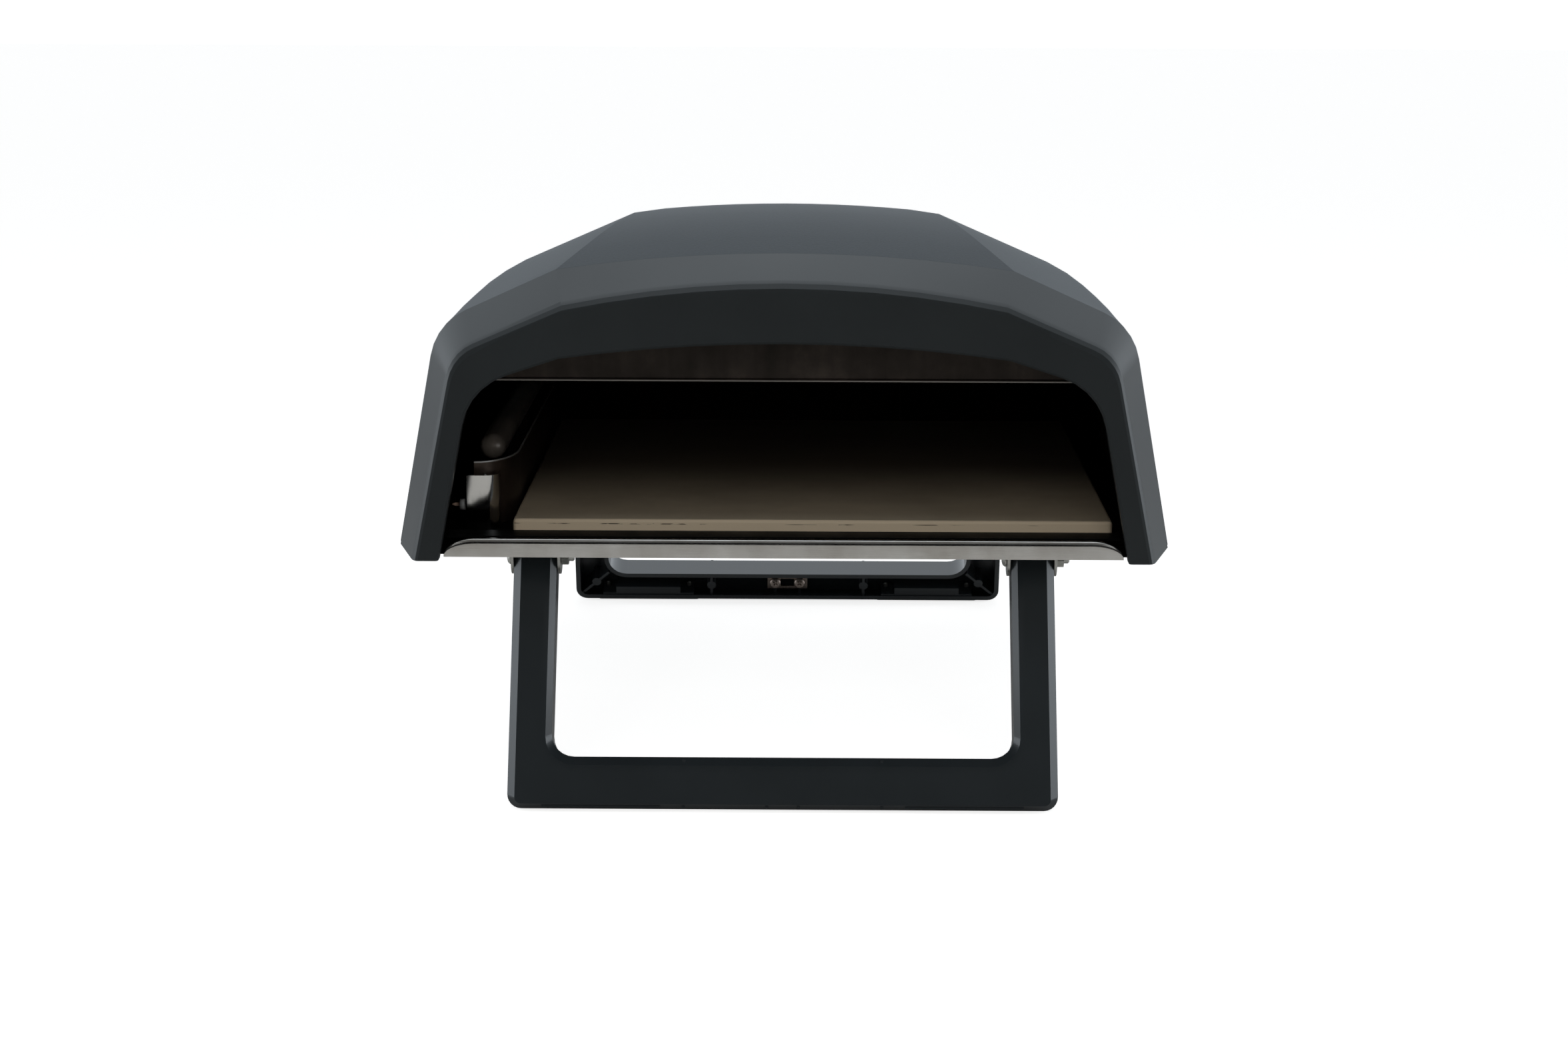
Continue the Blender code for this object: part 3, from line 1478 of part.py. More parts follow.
def main():
    clear_scene()
    smooth_paint = finish("smooth_charcoal_paint", (0.035, 0.040, 0.043), 0.45)
    textured_paint = finish("textured_charcoal_paint", (0.050, 0.056, 0.060), 0.70)
    leg_paint = finish("leg_charcoal_paint", (0.026, 0.030, 0.032), 0.48)
    black = finish("black_enamel", (0.006, 0.006, 0.006), 0.35)
    dark_steel = finish("heat_darkened_steel", (0.020, 0.018, 0.017), 0.50, 0.6)
    brushed = finish("brushed_stainless", (0.45, 0.44, 0.42), 0.35, 1.0)
    polished = finish("polished_stainless", (0.60, 0.59, 0.58), 0.12, 1.0)
    zinc = finish("zinc_plated_steel", (0.48, 0.48, 0.46), 0.35, 1.0)
    cordierite = finish("cordierite_stone", (0.36, 0.31, 0.26), 0.90)
    rubber = finish("black_rubber", (0.010, 0.010, 0.010), 0.85)
    brass = finish("brass", (0.60, 0.45, 0.20), 0.30, 1.0)
    copper = finish("copper_tip", (0.60, 0.35, 0.25), 0.35, 1.0)
    plastic = finish("black_knob_plastic", (0.012, 0.012, 0.013), 0.40)
    build_outer_shell(textured_paint)
    build_visor(smooth_paint)
    build_base_pan(black)
    build_front_lip(brushed)
    build_stone(cordierite)
    build_chamber_sides(dark_steel)
    build_roof(dark_steel)
    build_chamber_back(dark_steel)
    build_baffle(brushed)
    build_burner(brushed, dark_steel)
    build_guard(dark_steel)
    build_igniter(polished, zinc, copper)
    build_hinges(zinc)
    build_legs(leg_paint, rubber, zinc)
    build_leg_clips(zinc)
    build_control_box(leg_paint)
    build_gas_valve(brass)
    build_gas_inlet(brass)
    build_bezel(zinc)
    build_knob(zinc, plastic)


main()
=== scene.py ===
"""Looks of a portable pizza oven: finishes, softened edges, small details, light and camera."""

import json
import math

import bmesh
import bpy
from bpy.props import FloatProperty, FloatVectorProperty, PointerProperty
from mathutils import Matrix, Vector

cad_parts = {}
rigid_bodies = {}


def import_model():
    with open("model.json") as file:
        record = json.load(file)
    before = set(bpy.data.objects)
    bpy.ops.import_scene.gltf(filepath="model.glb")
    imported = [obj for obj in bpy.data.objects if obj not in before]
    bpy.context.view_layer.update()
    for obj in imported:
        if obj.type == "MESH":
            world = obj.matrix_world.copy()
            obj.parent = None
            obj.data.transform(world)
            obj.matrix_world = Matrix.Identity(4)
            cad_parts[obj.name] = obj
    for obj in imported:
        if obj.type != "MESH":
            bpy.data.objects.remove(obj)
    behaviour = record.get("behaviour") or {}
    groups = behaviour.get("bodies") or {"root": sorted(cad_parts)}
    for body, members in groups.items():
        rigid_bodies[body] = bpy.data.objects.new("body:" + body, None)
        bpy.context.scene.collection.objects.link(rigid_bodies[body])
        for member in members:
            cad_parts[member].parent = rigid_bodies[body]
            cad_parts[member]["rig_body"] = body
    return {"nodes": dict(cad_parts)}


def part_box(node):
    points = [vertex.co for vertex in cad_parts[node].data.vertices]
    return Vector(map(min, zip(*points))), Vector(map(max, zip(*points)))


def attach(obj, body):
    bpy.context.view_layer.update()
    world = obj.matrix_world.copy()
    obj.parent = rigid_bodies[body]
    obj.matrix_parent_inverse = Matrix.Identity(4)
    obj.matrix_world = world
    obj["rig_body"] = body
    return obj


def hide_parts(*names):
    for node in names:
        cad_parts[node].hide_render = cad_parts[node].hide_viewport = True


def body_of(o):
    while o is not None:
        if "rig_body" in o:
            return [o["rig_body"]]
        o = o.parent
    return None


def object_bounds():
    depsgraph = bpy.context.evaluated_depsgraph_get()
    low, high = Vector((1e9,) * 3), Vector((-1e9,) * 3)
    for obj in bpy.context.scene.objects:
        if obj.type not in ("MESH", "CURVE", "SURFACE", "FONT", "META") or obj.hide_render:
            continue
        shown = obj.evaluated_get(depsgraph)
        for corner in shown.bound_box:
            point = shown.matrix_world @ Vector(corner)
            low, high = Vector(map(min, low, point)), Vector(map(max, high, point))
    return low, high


bl_info = {
    "name": "Portable pizza oven",
    "version": (1, 0, 0),
    "blender": (4, 5, 0),
    "location": "View3D > Sidebar > Pizza Oven",
    "description": "Finishes a folding-leg gas pizza oven around its packed parts",
    "category": "Object",
}

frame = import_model()
cad_low, cad_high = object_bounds()

MM = 0.001
ENDS = ("front", "rear")
HANDS = ("left", "right")


# Settings


def linear(hex_colour):
    """An sRGB hex colour as linear red, green, blue and an alpha of one."""
    channels = [int(hex_colour[k : k + 2], 16) / 255 for k in (1, 3, 5)]
    return [c / 12.92 if c <= 0.04045 else ((c + 0.055) / 1.055) ** 2.4 for c in channels] + [1.0]


WHITE = linear("#ffffff")


def colour_property(name, description, hex_colour):
    """A colour, from its sRGB hex value."""
    default = linear(hex_colour)
    return FloatVectorProperty(
        name=name, description=description, subtype="COLOR", size=4, min=0, max=1, default=default
    )


def length_property(name, description, millimetres):
    """A length, from its value in millimetres."""
    default = millimetres * MM
    return FloatProperty(
        name=name, description=description, subtype="DISTANCE", unit="LENGTH", min=0, default=default
    )


def angle_property(name, description, degrees):
    """An angle, from its value in degrees."""
    return FloatProperty(name=name, description=description, subtype="ANGLE", default=math.radians(degrees))


def power_property(name, description, watts):
    """A lamp's power."""
    return FloatProperty(name=name, description=description, unit="POWER", min=0, default=watts)


class OvenColours(bpy.types.PropertyGroup):
    """Colours that a user would change."""

    visor: colour_property("Visor", "Smooth powder coat of the front visor", "#282b2c")
    hood: colour_property("Hood", "Wrinkled powder coat of the hood shell", "#1f2529")
    legs: colour_property("Legs", "Smooth powder coat of the cast legs", "#24282a")
    enamel: colour_property("Enamel", "Stove enamel of the base pan", "#0a0a0a")
    chamber: colour_property("Chamber", "Heat-darkened steel of the chamber", "#1a1614")
    baffle: colour_property("Baffle", "Browned sheet of the heat baffle", "#3a332e")
    # Colour of the painted highlight along the baffle's folded lower edge.
    baffle_hem: colour_property("Baffle hem", "Bare steel along the baffle's lower edge", "#a09c96")
    guard: colour_property("Guard", "Browned sheet of the burner guard", "#4a3f37")
    burner: colour_property("Burner", "Dulled steel of the burner tube", "#8c8278")
    stone: colour_property("Stone", "Cordierite baking stone", "#b6a68e")
    # Soot colour, also used as painted shade towards the back of the stone.
    soot: colour_property("Soot", "Burnt marks on the stone", "#2a2420")
    stainless: colour_property("Stainless", "Brushed and polished stainless sheet", "#c8c6c2")
    zinc: colour_property("Zinc", "Zinc-plated fasteners", "#b9b8b2")
    dull_zinc: colour_property("Dull zinc", "Zinc-plated catch strikes and their screws", "#a8998f")
    nut: colour_property("Nut", "Dull silver nut on the igniter's rod", "#c9cac8")
    copper: colour_property("Copper", "Heated tip of the igniter's rod", "#e6c4ae")
    brass: colour_property("Brass", "Machined brass", "#c8a45c")
    rubber: colour_property("Rubber", "Feet", "#161616")
    knob: colour_property("Knob", "Moulded knob", "#1b1c1d")


class OvenSizes(bpy.types.PropertyGroup):
    """Sizes of the finishes, of the softened edges and of the finer pieces."""

    edge: length_property("Edge softness", "Rounding of pressed and cast edges", 0.8)
    ridge: length_property("Ridge softness", "Rounding of the visor's ridges", 4.0)
    stone_edge: length_property("Stone edge", "Rounding of the stone's edges", 1.5)
    housing_edge: length_property("Housing edge", "Rounding of the igniter housing's edges", 0.4)
    fold_edge: length_property("Fold edge", "Rounding of the baffle's fold and of the knob", 0.3)
    sheet_edge: length_property("Sheet edge", "Rounding of thin sheet, the bezel and the stem", 0.2)
    fine_edge: length_property("Fine edge", "Rounding of fasteners, tubes and fittings", 0.15)
    stud_edge: length_property("Stud edge", "Rounding of the foot studs", 0.1)
    peel: length_property("Orange peel", "Size of the ripples in the smooth coat", 2.0)
    wrinkle: length_property("Wrinkle", "Size of the grain in the hood's coat", 1.3)
    brushing: length_property("Brushing", "Spacing of the brushed lines", 0.5)
    # The next three sizes place the painted highlight bands along the baffle's hem and the guard's rim, and
    # their blend.
    baffle_hem: length_property("Baffle hem", "Height of the bare band along the baffle's lower edge", 1.0)
    guard_rim: length_property("Guard rim", "Height of the bare band along the guard's upper edge", 1.2)
    rub: length_property("Rubbed edge", "Height over which a browned sheet turns bare", 0.5)
    chip_drop: length_property("Chip drop", "How far the row of chips lies below the stone's top", 3.2)
    copper_end: length_property("Copper end", "Length of the igniter rod's tip, up to its nut", 5.5)
    lip_sheet: length_property("Lip sheet", "Thickness of the lip's sheet", 1.2)
    lip_crease: length_property("Lip crease", "Height of the lip's slanting band", 2.5)
    lip_end: length_property("Lip end", "Length over which each end of the lip curves down", 21.5)
    lip_heel: length_property("Lip heel", "How far above its lower edge the lip's rear fold ends", 2.8)
    recess: length_property("Screw recess", "Reach of the cross recess from the screw's axis", 2.7)
    thread: length_property("Thread pitch", "Pitch of the studs' thread", 0.8)


class OvenStudio(bpy.types.PropertyGroup):
    """Camera, light, paper and cards."""

    camera_place: FloatVectorProperty(
        name="Camera place",
        description="Where the camera stands, in the oven's frame",
        subtype="TRANSLATION",
        unit="LENGTH",
        default=(0.0116, -2.2845, 0.6063),
    )
    pitch: angle_property("Pitch", "How far the camera looks down", 11.62)
    yaw: angle_property("Yaw", "How far the camera turns to the right", -0.33)
    roll: angle_property("Roll", "How far the camera leans over", 0.22)
    lens: FloatProperty(name="Lens", description="Focal length in millimetres", default=67.49)
    sky: FloatProperty(name="Sky", description="Strength of the light from all round", default=0.2)
    backdrop: FloatProperty(
        name="Backdrop", description="Strength of the sky to the camera and in reflections", default=1.3
    )
    left_lamp: power_property("Left lamp", "Power of the lamp on the left", 6.6)
    right_lamp: power_property("Right lamp", "Power of the lamp on the right", 8.0)
    top_lamp: power_property("Top lamp", "Power of the lamp overhead", 5.0)
    high_lamp: power_property("High lamp", "Power of the lamp high in front", 8.0)
    front_lamp: power_property("Front lamp", "Power of the lamp over the camera", 12.0)
    cool: colour_property("Cool light", "Colour of the sky and of the lamps beside and above", "#eff7fe")
    plain: colour_property("Plain light", "Colour of the lamp over the camera", "#ffffff")
    paper: colour_property("Paper", "Seamless paper under and behind the oven", "#f8f4ef")
    paper_glow: FloatProperty(
        name="Paper glow", description="Strength added to the paper for the camera alone", default=0.78
    )
    card: colour_property("Card", "Paint of the cards that the oven reflects", "#1a1a1a")
    card_glow: FloatProperty(
        name="Card glow", description="Strength added to the upper card, which makes it grey", default=0.3
    )


def settings():
    """The oven's settings in the open scene."""
    return bpy.context.scene.pizza_oven


# Materials

BLEND = {"data_type": "RGBA"}  # own settings of a node that mixes two colours
MULTIPLY = {"data_type": "RGBA", "blend_type": "MULTIPLY"}  # and of one that multiplies them


def new_material(name):
    """A new material, its node tree and its shader, which the output already takes."""
    material = bpy.data.materials.new(name)
    material.use_nodes = True
    tree = material.node_tree
    return material, tree, tree.nodes["Principled BSDF"]


def feed(node, sockets):
    """Gives inputs, by name or number, a value, an output, or the first output of another node."""
    for key, value in dict(sockets).items():
        if isinstance(value, bpy.types.Node):
            value = next(output for output in value.outputs if output.enabled)
        if isinstance(value, bpy.types.NodeSocket):
            node.id_data.links.new(value, node.inputs[key])
        else:
            node.inputs[key].default_value = value


def add(tree, kind, sockets=(), **own):
    """Adds a node with its own settings, and feeds its inputs."""
    node = tree.nodes.new("ShaderNode" + kind)
    for key, value in own.items():
        setattr(node, key, value)
    feed(node, sockets)
    return node


def per_metre(size):
    """A texture scale at which one feature has this size, in metres."""
    return 1 / size


def wave_scale(spacing):
    """A wave texture's scale for rings this far apart, in metres: scale 1 gives 20 radians a metre."""
    return math.tau / 20 / spacing


def shades(ramp, *stops):
    """Sets a colour ramp's stops, each a position and a colour."""
    elements = ramp.color_ramp.elements
    while len(elements) < len(stops):
        elements.new(0.5)
    for element, (position, colour) in zip(elements, stops):
        element.position = position
        element.color = colour


def tinted(colour, factor):
    """A colour made darker or lighter by a factor."""
    return [min(c * factor, 1.0) for c in colour[:3]] + [1.0]


def smooth_powder_coat(name, colour, peel, roughness=0.42, shine=0.3, gloss_coat=0.0):
    """Satin polyester powder coat: a faint orange peel, slightly uneven gloss and colour."""
    material, tree, shader = new_material(name)
    place = add(tree, "TexCoord").outputs["Object"]
    scale = per_metre(peel)
    ripples = add(tree, "TexNoise", {"Vector": place, "Scale": scale, "Detail": 2.0, "Roughness": 0.45})
    cloud = add(tree, "TexNoise", {"Vector": place, "Scale": per_metre(60 * MM), "Detail": 3.0})
    tint = add(tree, "ValToRGB", {"Fac": cloud})
    shades(tint, (0.3, tinted(colour, 0.94)), (0.7, tinted(colour, 1.06)))
    gloss = add(tree, "MapRange", {"Value": cloud, "To Min": roughness - 0.03, "To Max": roughness + 0.04})
    relief = add(tree, "Bump", {"Height": ripples, "Distance": 0.012 * MM, "Strength": 0.6})
    feed(shader, {"Base Color": tint, "Roughness": gloss, "Normal": relief, "Specular IOR Level": shine})
    feed(shader, {"Coat Weight": gloss_coat, "Coat Roughness": 0.12})
    return material


def wrinkled_powder_coat(name, colour, wrinkle):
    """Matte textured powder coat: fine pebbled grain, drawn a little coarser than the real one to show."""
    material, tree, shader = new_material(name)
    place = add(tree, "TexCoord").outputs["Object"]
    grain_scale, pebble_scale = per_metre(wrinkle), per_metre(wrinkle * 1.4)
    grain = add(tree, "TexNoise", {"Vector": place, "Scale": grain_scale, "Detail": 3.0, "Roughness": 0.6})
    pebbles = add(tree, "TexVoronoi", {"Vector": place, "Scale": pebble_scale}, feature="SMOOTH_F1")
    cloud = add(tree, "TexNoise", {"Vector": place, "Scale": per_metre(90 * MM), "Detail": 3.0})
    height = add(tree, "Math", {0: grain, 1: pebbles}, operation="ADD")
    speck = add(tree, "ValToRGB", {"Fac": grain})
    shades(speck, (0.3, tinted(colour, 0.72)), (0.52, colour), (0.72, tinted(colour, 1.32)))
    shade = add(tree, "MapRange", {"Value": cloud, "To Min": 0.94, "To Max": 1.06})
    tone = add(tree, "Mix", {"Factor": 1.0, "A": speck, "B": shade}, **MULTIPLY)
    relief = add(tree, "Bump", {"Height": height, "Distance": 0.10 * MM, "Strength": 0.7})
    feed(shader, {"Base Color": tone, "Normal": relief, "Roughness": 0.62, "Specular IOR Level": 0.25})
    return material


def stove_enamel(name, colour):
    """Black stove enamel with the slow waves of a dipped coat: in the dark mouth it hardly shines."""
    material, tree, shader = new_material(name)
    place = add(tree, "TexCoord").outputs["Object"]
    waves = add(tree, "TexNoise", {"Vector": place, "Scale": per_metre(14 * MM), "Detail": 2.0})
    smear_scale = per_metre(35 * MM)
    smears = add(tree, "TexNoise", {"Vector": place, "Scale": smear_scale, "Detail": 5.0, "Roughness": 0.6})
    gloss = add(tree, "MapRange", {"Value": smears, "To Min": 0.224, "To Max": 0.512})
    relief = add(tree, "Bump", {"Height": waves, "Distance": 0.15 * MM, "Strength": 0.5})
    feed(shader, {"Base Color": colour, "Specular IOR Level": 0.02, "Roughness": gloss, "Normal": relief})
    return material


def heat_darkened_steel(name, colour, metal=0.75):
    """Stainless sheet that the flame has browned: dark, cloudy and half glossy, with slow dents."""
    material, tree, shader = new_material(name)
    place = add(tree, "TexCoord").outputs["Object"]
    cloud_scale = per_metre(50 * MM)
    cloud = add(tree, "TexNoise", {"Vector": place, "Scale": cloud_scale, "Detail": 6.0, "Roughness": 0.62})
    tint = add(tree, "ValToRGB", {"Fac": cloud})
    shades(tint, (0.3, tinted(colour, 0.55)), (0.55, colour), (0.75, tinted(colour, 1.9)))
    gloss = add(tree, "MapRange", {"Value": cloud, "To Min": 0.22, "To Max": 0.5})
    dents = add(tree, "TexNoise", {"Vector": place, "Scale": per_metre(40 * MM), "Detail": 1.0})
    relief = add(tree, "Bump", {"Height": dents, "Distance": 0.4 * MM, "Strength": 0.5})
    feed(shader, {"Base Color": tint, "Roughness": gloss, "Normal": relief, "Metallic": metal})
    return material


def browned_sheet(name, colour, bare, highlight_from, highlight_to):
    """Sheet by the flame: browned in faint upright bands, with a painted highlight along one edge, blended
    in between two heights.
    """
    material = heat_darkened_steel(name, colour)
    tree = material.node_tree
    shader = tree.nodes["Principled BSDF"]
    place = add(tree, "TexCoord").outputs["Object"]
    height = add(tree, "SeparateXYZ", {"Vector": place}).outputs["Z"]
    drawn = add(tree, "Mapping", {"Vector": place, "Scale": (1.0, 1.0, 0.02)})
    bands = add(tree, "TexNoise", {"Vector": drawn, "Scale": per_metre(9 * MM), "Detail": 3.0})
    level = add(tree, "MapRange", {"Value": bands, "To Min": 0.6, "To Max": 1.4})
    brown = shader.inputs["Base Color"].links[0].from_socket
    banded = add(tree, "Mix", {"Factor": 1.0, "A": brown, "B": level}, **MULTIPLY)
    # Painted highlight: a bright band along the sheet's edge, for the light that its fold or cut edge
    # catches.
    edge = add(tree, "MapRange", {"Value": height, "From Min": highlight_from, "From Max": highlight_to})
    feed(shader, {"Base Color": add(tree, "Mix", {"Factor": edge, "A": banded, "B": bare}, **BLEND)})
    return material


def brushed_stainless(name, colour, spacing, painted_shade_from):
    """Brushed stainless sheet: fine lines from side to side, soft stains and a broken highlight.

    Above the given height, the slanting band is painted a shade darker: painted shade for the dark
    reflection it shows.
    """
    material, tree, shader = new_material(name)
    place = add(tree, "TexCoord").outputs["Object"]
    drawn = add(tree, "Mapping", {"Vector": place, "Scale": (0.02, 1.0, 1.0)})
    lines = add(tree, "TexNoise", {"Vector": drawn, "Scale": per_metre(spacing), "Detail": 3.0})
    cloud_scale = per_metre(30 * MM)
    cloud = add(tree, "TexNoise", {"Vector": place, "Scale": cloud_scale, "Detail": 4.0, "Roughness": 0.55})
    tint = add(tree, "ValToRGB", {"Fac": cloud})
    warm = [colour[0], colour[1] * 0.97, colour[2] * 0.93, 1.0]
    shades(tint, (0.32, tinted(warm, 0.8)), (0.68, tinted(colour, 1.08)))
    gloss = add(tree, "MapRange", {"Value": lines, "To Min": 0.14, "To Max": 0.28})
    relief = add(tree, "Bump", {"Height": lines, "Distance": 0.02 * MM, "Strength": 0.5})
    height = add(tree, "SeparateXYZ", {"Vector": place}).outputs["Z"]
    fade = 0.2 * MM
    # Painted shade: the sheet above the crease is painted darker, for the dark reflection on the slanting
    # band.
    painted_shade = add(tree, "MapRange", {"Value": height, "To Min": 1.0, "To Max": 0.55})
    feed(painted_shade, {"From Min": painted_shade_from - fade, "From Max": painted_shade_from + fade})
    tone = add(tree, "Mix", {"Factor": 1.0, "A": tint, "B": painted_shade}, **MULTIPLY)
    feed(shader, {"Base Color": tone, "Roughness": gloss, "Normal": relief, "Metallic": 1.0})
    return material


def polished_stainless(name, colour):
    """Pressed stainless with a bright rolled surface: mirror-like, faintly dented, with small spots."""
    material, tree, shader = new_material(name)
    place = add(tree, "TexCoord").outputs["Object"]
    dents = add(tree, "TexNoise", {"Vector": place, "Scale": per_metre(9 * MM), "Detail": 1.0})
    spot_scale = per_metre(3 * MM)
    spots = add(tree, "TexNoise", {"Vector": place, "Scale": spot_scale, "Detail": 4.0, "Roughness": 0.7})
    gloss = add(tree, "MapRange", {"Value": spots, "From Min": 0.55, "From Max": 0.8})
    feed(gloss, {"To Min": 0.1, "To Max": 0.16})
    relief = add(tree, "Bump", {"Height": dents, "Distance": 0.06 * MM, "Strength": 0.5})
    feed(shader, {"Base Color": colour, "Roughness": gloss, "Normal": relief, "Metallic": 1.0})
    return material


def zinc_plating(name, colour):
    """Bright zinc plating: silvery, patchy at the scale of a bolt head, softly blurred."""
    material, tree, shader = new_material(name)
    place = add(tree, "TexCoord").outputs["Object"]
    patches = add(tree, "TexVoronoi", {"Vector": place, "Scale": per_metre(1.6 * MM)}, feature="SMOOTH_F1")
    tint = add(tree, "ValToRGB", {"Fac": patches})
    shades(tint, (0.1, tinted(colour, 0.72)), (0.8, colour))
    gloss = add(tree, "MapRange", {"Value": patches, "To Min": 0.26, "To Max": 0.46})
    feed(shader, {"Base Color": tint, "Roughness": gloss, "Metallic": 1.0})
    return material


def threaded_zinc(name, colour, pitch):
    """Zinc-plated stud: as the other fasteners, with the rings of a thread along its height."""
    material = zinc_plating(name, colour)
    tree = material.node_tree
    place = add(tree, "TexCoord").outputs["Object"]
    rings = add(tree, "TexWave", {"Vector": place, "Scale": wave_scale(pitch)}, bands_direction="Z")
    relief = add(tree, "Bump", {"Height": rings.outputs["Fac"], "Distance": 0.4 * MM, "Strength": 1.0})
    feed(tree.nodes["Principled BSDF"], {"Normal": relief})
    return material


def machined_brass(name, colour):
    """Turned brass: warm and somewhat dulled, with faint lathe rings, drawn coarse enough to show."""
    material, tree, shader = new_material(name)
    place = add(tree, "TexCoord").outputs["Object"]
    ring_scale = wave_scale(1.885 * MM)
    rings = add(
        tree, "TexWave", {"Vector": place, "Scale": ring_scale, "Distortion": 0.4}, bands_direction="Y"
    )
    dulling = add(tree, "TexNoise", {"Vector": place, "Scale": per_metre(12 * MM), "Detail": 4.0})
    tint = add(tree, "ValToRGB", {"Fac": dulling})
    shades(tint, (0.3, tinted(colour, 0.7)), (0.7, colour))
    relief = add(tree, "Bump", {"Height": rings.outputs["Fac"], "Distance": 0.02 * MM, "Strength": 0.4})
    feed(shader, {"Base Color": tint, "Normal": relief, "Metallic": 1.0, "Roughness": 0.32})
    return material


def copper_tip(name, copper, nut, nut_side):
    """Igniter rod: a dull silver nut, and past it a tip warmed to a copper tone by heat."""
    material, tree, shader = new_material(name)
    place = add(tree, "TexCoord").outputs["Object"]
    heat = add(tree, "TexNoise", {"Vector": place, "Scale": per_metre(5 * MM), "Detail": 3.0})
    tint = add(tree, "ValToRGB", {"Fac": heat})
    shades(tint, (0.35, tinted(copper, 0.7)), (0.65, tinted(copper, 1.2)))
    side = add(tree, "SeparateXYZ", {"Vector": place}).outputs["X"]
    on_nut = add(tree, "Math", {0: side, 1: nut_side}, operation="GREATER_THAN")
    tone = add(tree, "Mix", {"Factor": on_nut, "A": tint, "B": nut}, **BLEND)
    feed(shader, {"Base Color": tone, "Metallic": 0.2, "Roughness": 0.4})
    return material


def chip_row(tree, place, painted_highlight_face, chip_height):
    """How chipped the stone's front face is: a broken row at one height, mostly left of the middle."""
    spot = add(tree, "SeparateXYZ", {"Vector": place})
    stretched = add(tree, "Mapping", {"Vector": place, "Scale": (0.2, 1.0, 1.0)})
    flakes = add(tree, "TexNoise", {"Vector": stretched, "Scale": per_metre(2 * MM), "Detail": 5.0})
    chips = add(tree, "MapRange", {"Value": flakes, "From Min": 0.46, "From Max": 0.52})
    wear = add(tree, "TexNoise", {"Vector": place, "Scale": per_metre(55 * MM), "Detail": 1.0})
    left = add(tree, "MapRange", {"Value": spot.outputs["X"], "To Max": 0.24})
    feed(left, {"From Min": -20 * MM, "From Max": -110 * MM})
    wear = add(tree, "Math", {0: wear, 1: left}, operation="ADD")
    worn = add(tree, "MapRange", {"Value": wear, "From Min": 0.58, "From Max": 0.66})
    above = add(tree, "Math", {0: spot.outputs["Z"], 1: chip_height}, operation="SUBTRACT")
    away = add(tree, "Math", {0: above}, operation="ABSOLUTE")
    row = add(tree, "MapRange", {"Value": away, "From Min": 0.4 * MM, "From Max": 0.2 * MM})
    for share in (worn, row, painted_highlight_face):
        chips = add(tree, "Math", {0: chips, 1: share}, operation="MULTIPLY")
    return chips


def cordierite(name, colour, soot, front, chip_height):
    """Pressed cordierite: chalky, flecked and chipped; painted shade darkens it to the back, a painted
    highlight lightens its front.
    """
    material, tree, shader = new_material(name)
    place = add(tree, "TexCoord").outputs["Object"]
    into = add(tree, "SeparateXYZ", {"Vector": place}).outputs["Y"]
    cloud_scale, speck_scale = per_metre(70 * MM), per_metre(4 * MM)
    cloud = add(tree, "TexNoise", {"Vector": place, "Scale": cloud_scale, "Detail": 5.0, "Roughness": 0.6})
    tint = add(tree, "ValToRGB", {"Fac": cloud})
    shades(tint, (0.3, tinted(colour, 0.86)), (0.7, tinted(colour, 1.06)))
    speck = add(tree, "TexNoise", {"Vector": place, "Scale": speck_scale, "Detail": 5.0, "Roughness": 0.75})
    marks = add(tree, "MapRange", {"Value": speck, "From Min": 0.66, "From Max": 0.74, "To Max": 0.45})
    tone = add(tree, "Mix", {"Factor": marks, "A": tint, "B": soot}, **BLEND)
    # Painted shade: the stone is mixed towards the soot colour from front to back, for the shade deep in
    # the chamber.
    depth = add(tree, "MapRange", {"Value": into, "To Max": 0.88}, interpolation_type="SMOOTHSTEP")
    feed(depth, {"From Min": front + 30 * MM, "From Max": front + 230 * MM})
    tone = add(tree, "Mix", {"Factor": depth, "A": tone, "B": soot}, **BLEND)
    # Painted highlight: the stone's front face is painted lighter than its own colour, for the light
    # falling on it.
    painted_highlight_face = add(tree, "MapRange", {"Value": into, "From Min": front + 2 * MM, "From Max": front + 1.5 * MM})
    tone = add(tree, "Mix", {"Factor": painted_highlight_face, "A": tone, "B": tinted(colour, 1.45)}, **BLEND)
    chips = chip_row(tree, place, painted_highlight_face, chip_height)
    tone = add(tree, "Mix", {"Factor": chips, "A": tone, "B": soot}, **BLEND)
    grit = add(tree, "TexNoise", {"Vector": place, "Scale": per_metre(1.2 * MM), "Detail": 2.0})
    relief = add(tree, "Bump", {"Height": grit, "Distance": 0.12 * MM, "Strength": 0.6})
    feed(shader, {"Base Color": tone, "Normal": relief, "Roughness": 0.85, "Specular IOR Level": 0.25})
    return material


def moulded_rubber(name, colour):
    """Moulded rubber: matte black with a dusty bloom."""
    material, tree, shader = new_material(name)
    place = add(tree, "TexCoord").outputs["Object"]
    bloom = add(tree, "TexNoise", {"Vector": place, "Scale": per_metre(8 * MM), "Detail": 4.0})
    tint = add(tree, "ValToRGB", {"Fac": bloom})
    shades(tint, (0.35, colour), (0.75, tinted(colour, 1.8)))
    feed(shader, {"Base Color": tint, "Roughness": 0.8})
    return material


def moulded_phenolic(name, colour):
    """Moulded phenolic knob: black, satin, with a very fine spark-eroded grain."""
    material, tree, shader = new_material(name)
    place = add(tree, "TexCoord").outputs["Object"]
    grain = add(tree, "TexNoise", {"Vector": place, "Scale": per_metre(0.6 * MM), "Detail": 2.0})
    relief = add(tree, "Bump", {"Height": grain, "Distance": 0.03 * MM, "Strength": 0.5})
    feed(shader, {"Base Color": colour, "Normal": relief, "Roughness": 0.42})
    return material


# Pieces

MERGE_DISTANCE = 0.01 * MM
FLAT_ANGLE = math.radians(0.5)
SHARP_ANGLE = math.radians(35)


